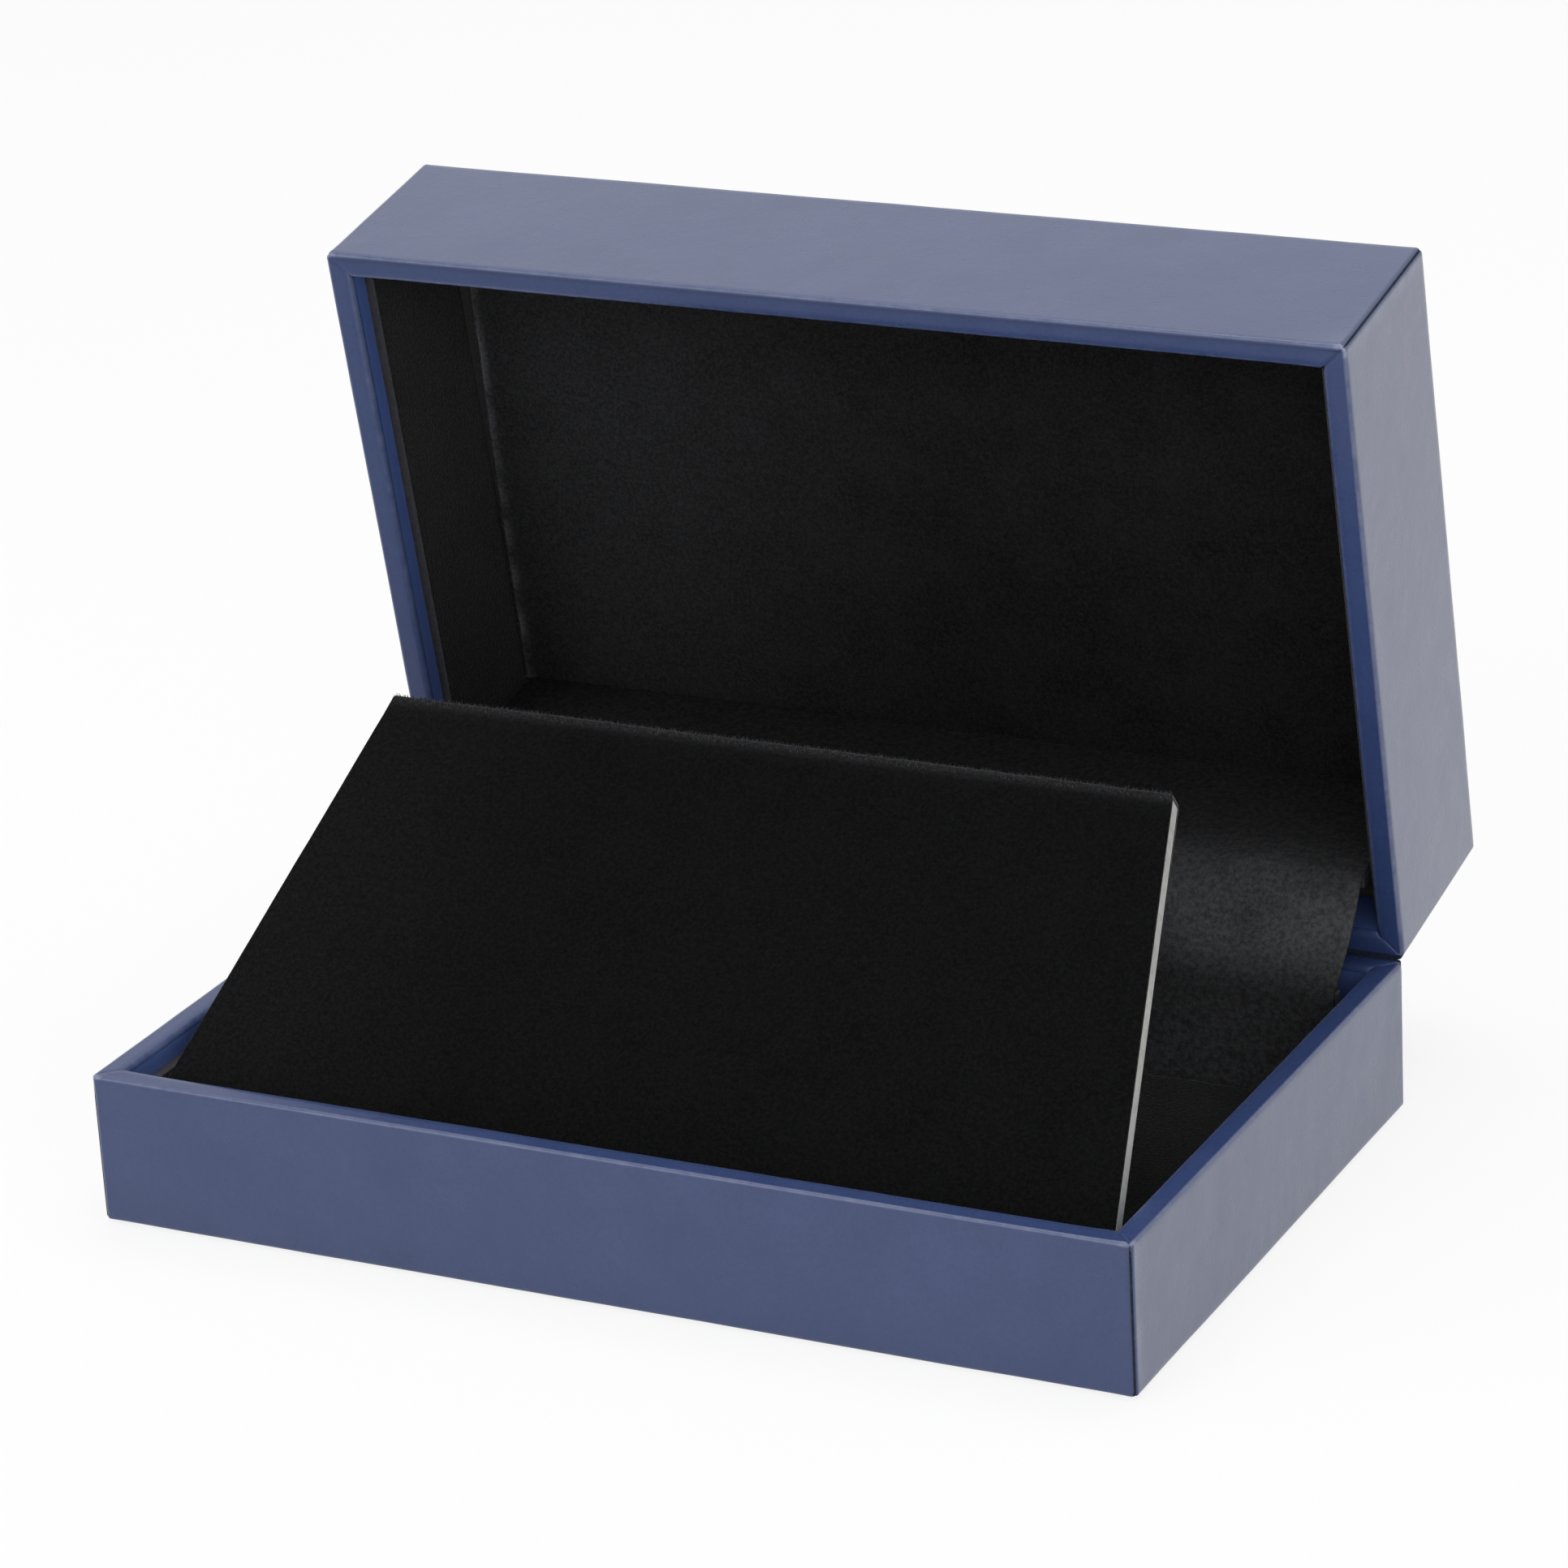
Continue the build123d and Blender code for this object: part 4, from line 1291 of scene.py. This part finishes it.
# CAD nodes that stay: their slot, material, width of the softened edges and names
SIDES = ("left", "right")
LEAVES_AND_PINS = [f"{side}_hinge_{part}" for side in SIDES for part in ("base_leaf", "lid_leaf", "pin")]
KEPT = (
    ("tray_board", TRAY_BOARD, 0.0, ["base_shell", "lid_shell"]),
    ("underside_paper", PAPER, 0.08, ["base_underside_sheet"]),
    ("black_board", BLACK_BOARD, 0.08, ["base_floor_board", "lid_ceiling_board"]),
    ("black_board", BLACK_BOARD, 0.1, ["hinge_screen", "hinge_shelf", "panel_anchor_strip"]),
    ("black_board", BLACK_BOARD, 0.12, ["support_leg"]),
    ("pale_board", PALE_BOARD, 0.1, ["panel_board"]),
    ("hinge_metal", HINGE_METAL, 0.16, ["hinge_base_rivets", "hinge_lid_rivets"]),
    ("hinge_metal", HINGE_METAL, 0.06, LEAVES_AND_PINS),
    ("spring_steel", SPRING_STEEL, 0.05, [f"{side}_hinge_snap_spring" for side in SIDES]),
)


def soften_edges(piece, width):
    weld = piece.modifiers.new("weld", "WELD")
    weld.merge_threshold = SAME_POINT * MM
    soft = piece.modifiers.new("soft_edges", "BEVEL")
    soft.width = width * MM
    soft.segments = 2
    soft.limit_method = "ANGLE"
    soft.angle_limit = radians(40)


def finish_kept_nodes():
    for slot, material, bevel, nodes in KEPT:
        for piece in [frame["nodes"][node] for node in nodes]:
            piece.data.materials.clear()
            piece.data.materials.append(material)
            if bevel:
                soften_edges(piece, bevel)


# Stage
WHITE = (1, 1, 1, 1)
FLOOR_REACH = 5.0
FLOOR_WHITE_SHARE = 0.85


def floor():
    """A large pale floor that keeps the object's shadow."""
    mesh = bpy.data.meshes.new("floor")
    corners = [(x * FLOOR_REACH, y * FLOOR_REACH, 0) for x, y in ((-1, -1), (1, -1), (1, 1), (-1, 1))]
    mesh.from_pydata(corners, [], [(0, 1, 2, 3)])
    shader = Shader("floor")
    shader.fix(Base_Color=(0.9, 0.9, 0.9, 1), Roughness=1.0, Specular_IOR_Level=0.0)
    glow = shader.new("ShaderNodeEmission", Color=WHITE)
    share = shader.maths("MULTIPLY", shader.seen_by("Is Glossy Ray"), FLOOR_WHITE_SHARE)
    shader.mix_to("Material Output", share, shader.surface.outputs["BSDF"], glow.outputs["Emission"])
    mesh.materials.append(shader.material)
    placed("floor", mesh)


def world(strength):
    """Even light from all round, and plain white for what sees or mirrors it."""
    made = bpy.data.worlds.new("studio")
    made.use_nodes = True
    tree = Nodes(made.node_tree)
    lit = tree.nodes["Background"]
    lit.inputs["Color"].default_value = WHITE
    lit.inputs["Strength"].default_value = strength
    white = tree.new("ShaderNodeBackground", Color=WHITE, Strength=1.0)
    seen = tree.seen_by("Is Glossy Ray", "Is Transmission Ray")
    tree.mix_to("World Output", seen, lit.outputs["Background"], white.outputs["Background"])
    bpy.context.scene.world = made


CASE_MIDDLE = (0, 0, 0.03)


def lamp(name, place, size, brightness):
    """A square soft light on the case, as bright as that many times plain white."""
    data = bpy.data.lights.new(name, "AREA")
    data.shape = "SQUARE"
    data.size = size
    data.energy = brightness * pi * size * size
    light = placed(name, data)
    light.location = place
    light.rotation_euler = (Vector(CASE_MIDDLE) - Vector(place)).to_track_quat("-Z", "Y").to_euler()
    light.visible_camera = False


CAMERA_YAW = 27.41466818
CAMERA_PITCH = 21.30587315
CAMERA_ROLL = -3.22757459
CAMERA_PLACE = (0.24241674, -0.45810415, 0.24042883)
CAMERA_LENS = 138.6468


def camera():
    """The photograph's viewpoint, worked out from the corners of the case."""
    data = bpy.data.cameras.new("camera")
    data.lens = CAMERA_LENS
    data.sensor_width = 36
    data.clip_start = 0.01
    data.clip_end = 20
    made = placed("camera", data)
    turn = Matrix.Rotation(radians(CAMERA_YAW), 4, "Z")
    turn = turn @ Matrix.Rotation(radians(90 - CAMERA_PITCH), 4, "X")
    turn = turn @ Matrix.Rotation(radians(CAMERA_ROLL), 4, "Z")
    made.matrix_world = Matrix.Translation(CAMERA_PLACE) @ turn
    bpy.context.scene.camera = made


tray_wrap("base", as_it_stands, as_it_stands, -1, 3, BASE_LEATHERETTE)
tray_wrap("lid", shut_lid, open_lid, 1, 11, LID_LEATHERETTE)
linings()
panel_velvet()
hinge_cover()
crease_tape()
leg_tape()
leg_ribbon()
finish_kept_nodes()

floor()
world(0.5)
lamp("overhead", (0.0, 0.1, 0.8), size=0.6, brightness=2.8)
lamp("front_left", (-0.45, -0.80, 0.50), size=0.5, brightness=2.5)
lamp("front_right", (0.60, -0.80, 0.36), size=0.7, brightness=1.45)
camera()
bpy.context.scene.view_settings.view_transform = "Standard"
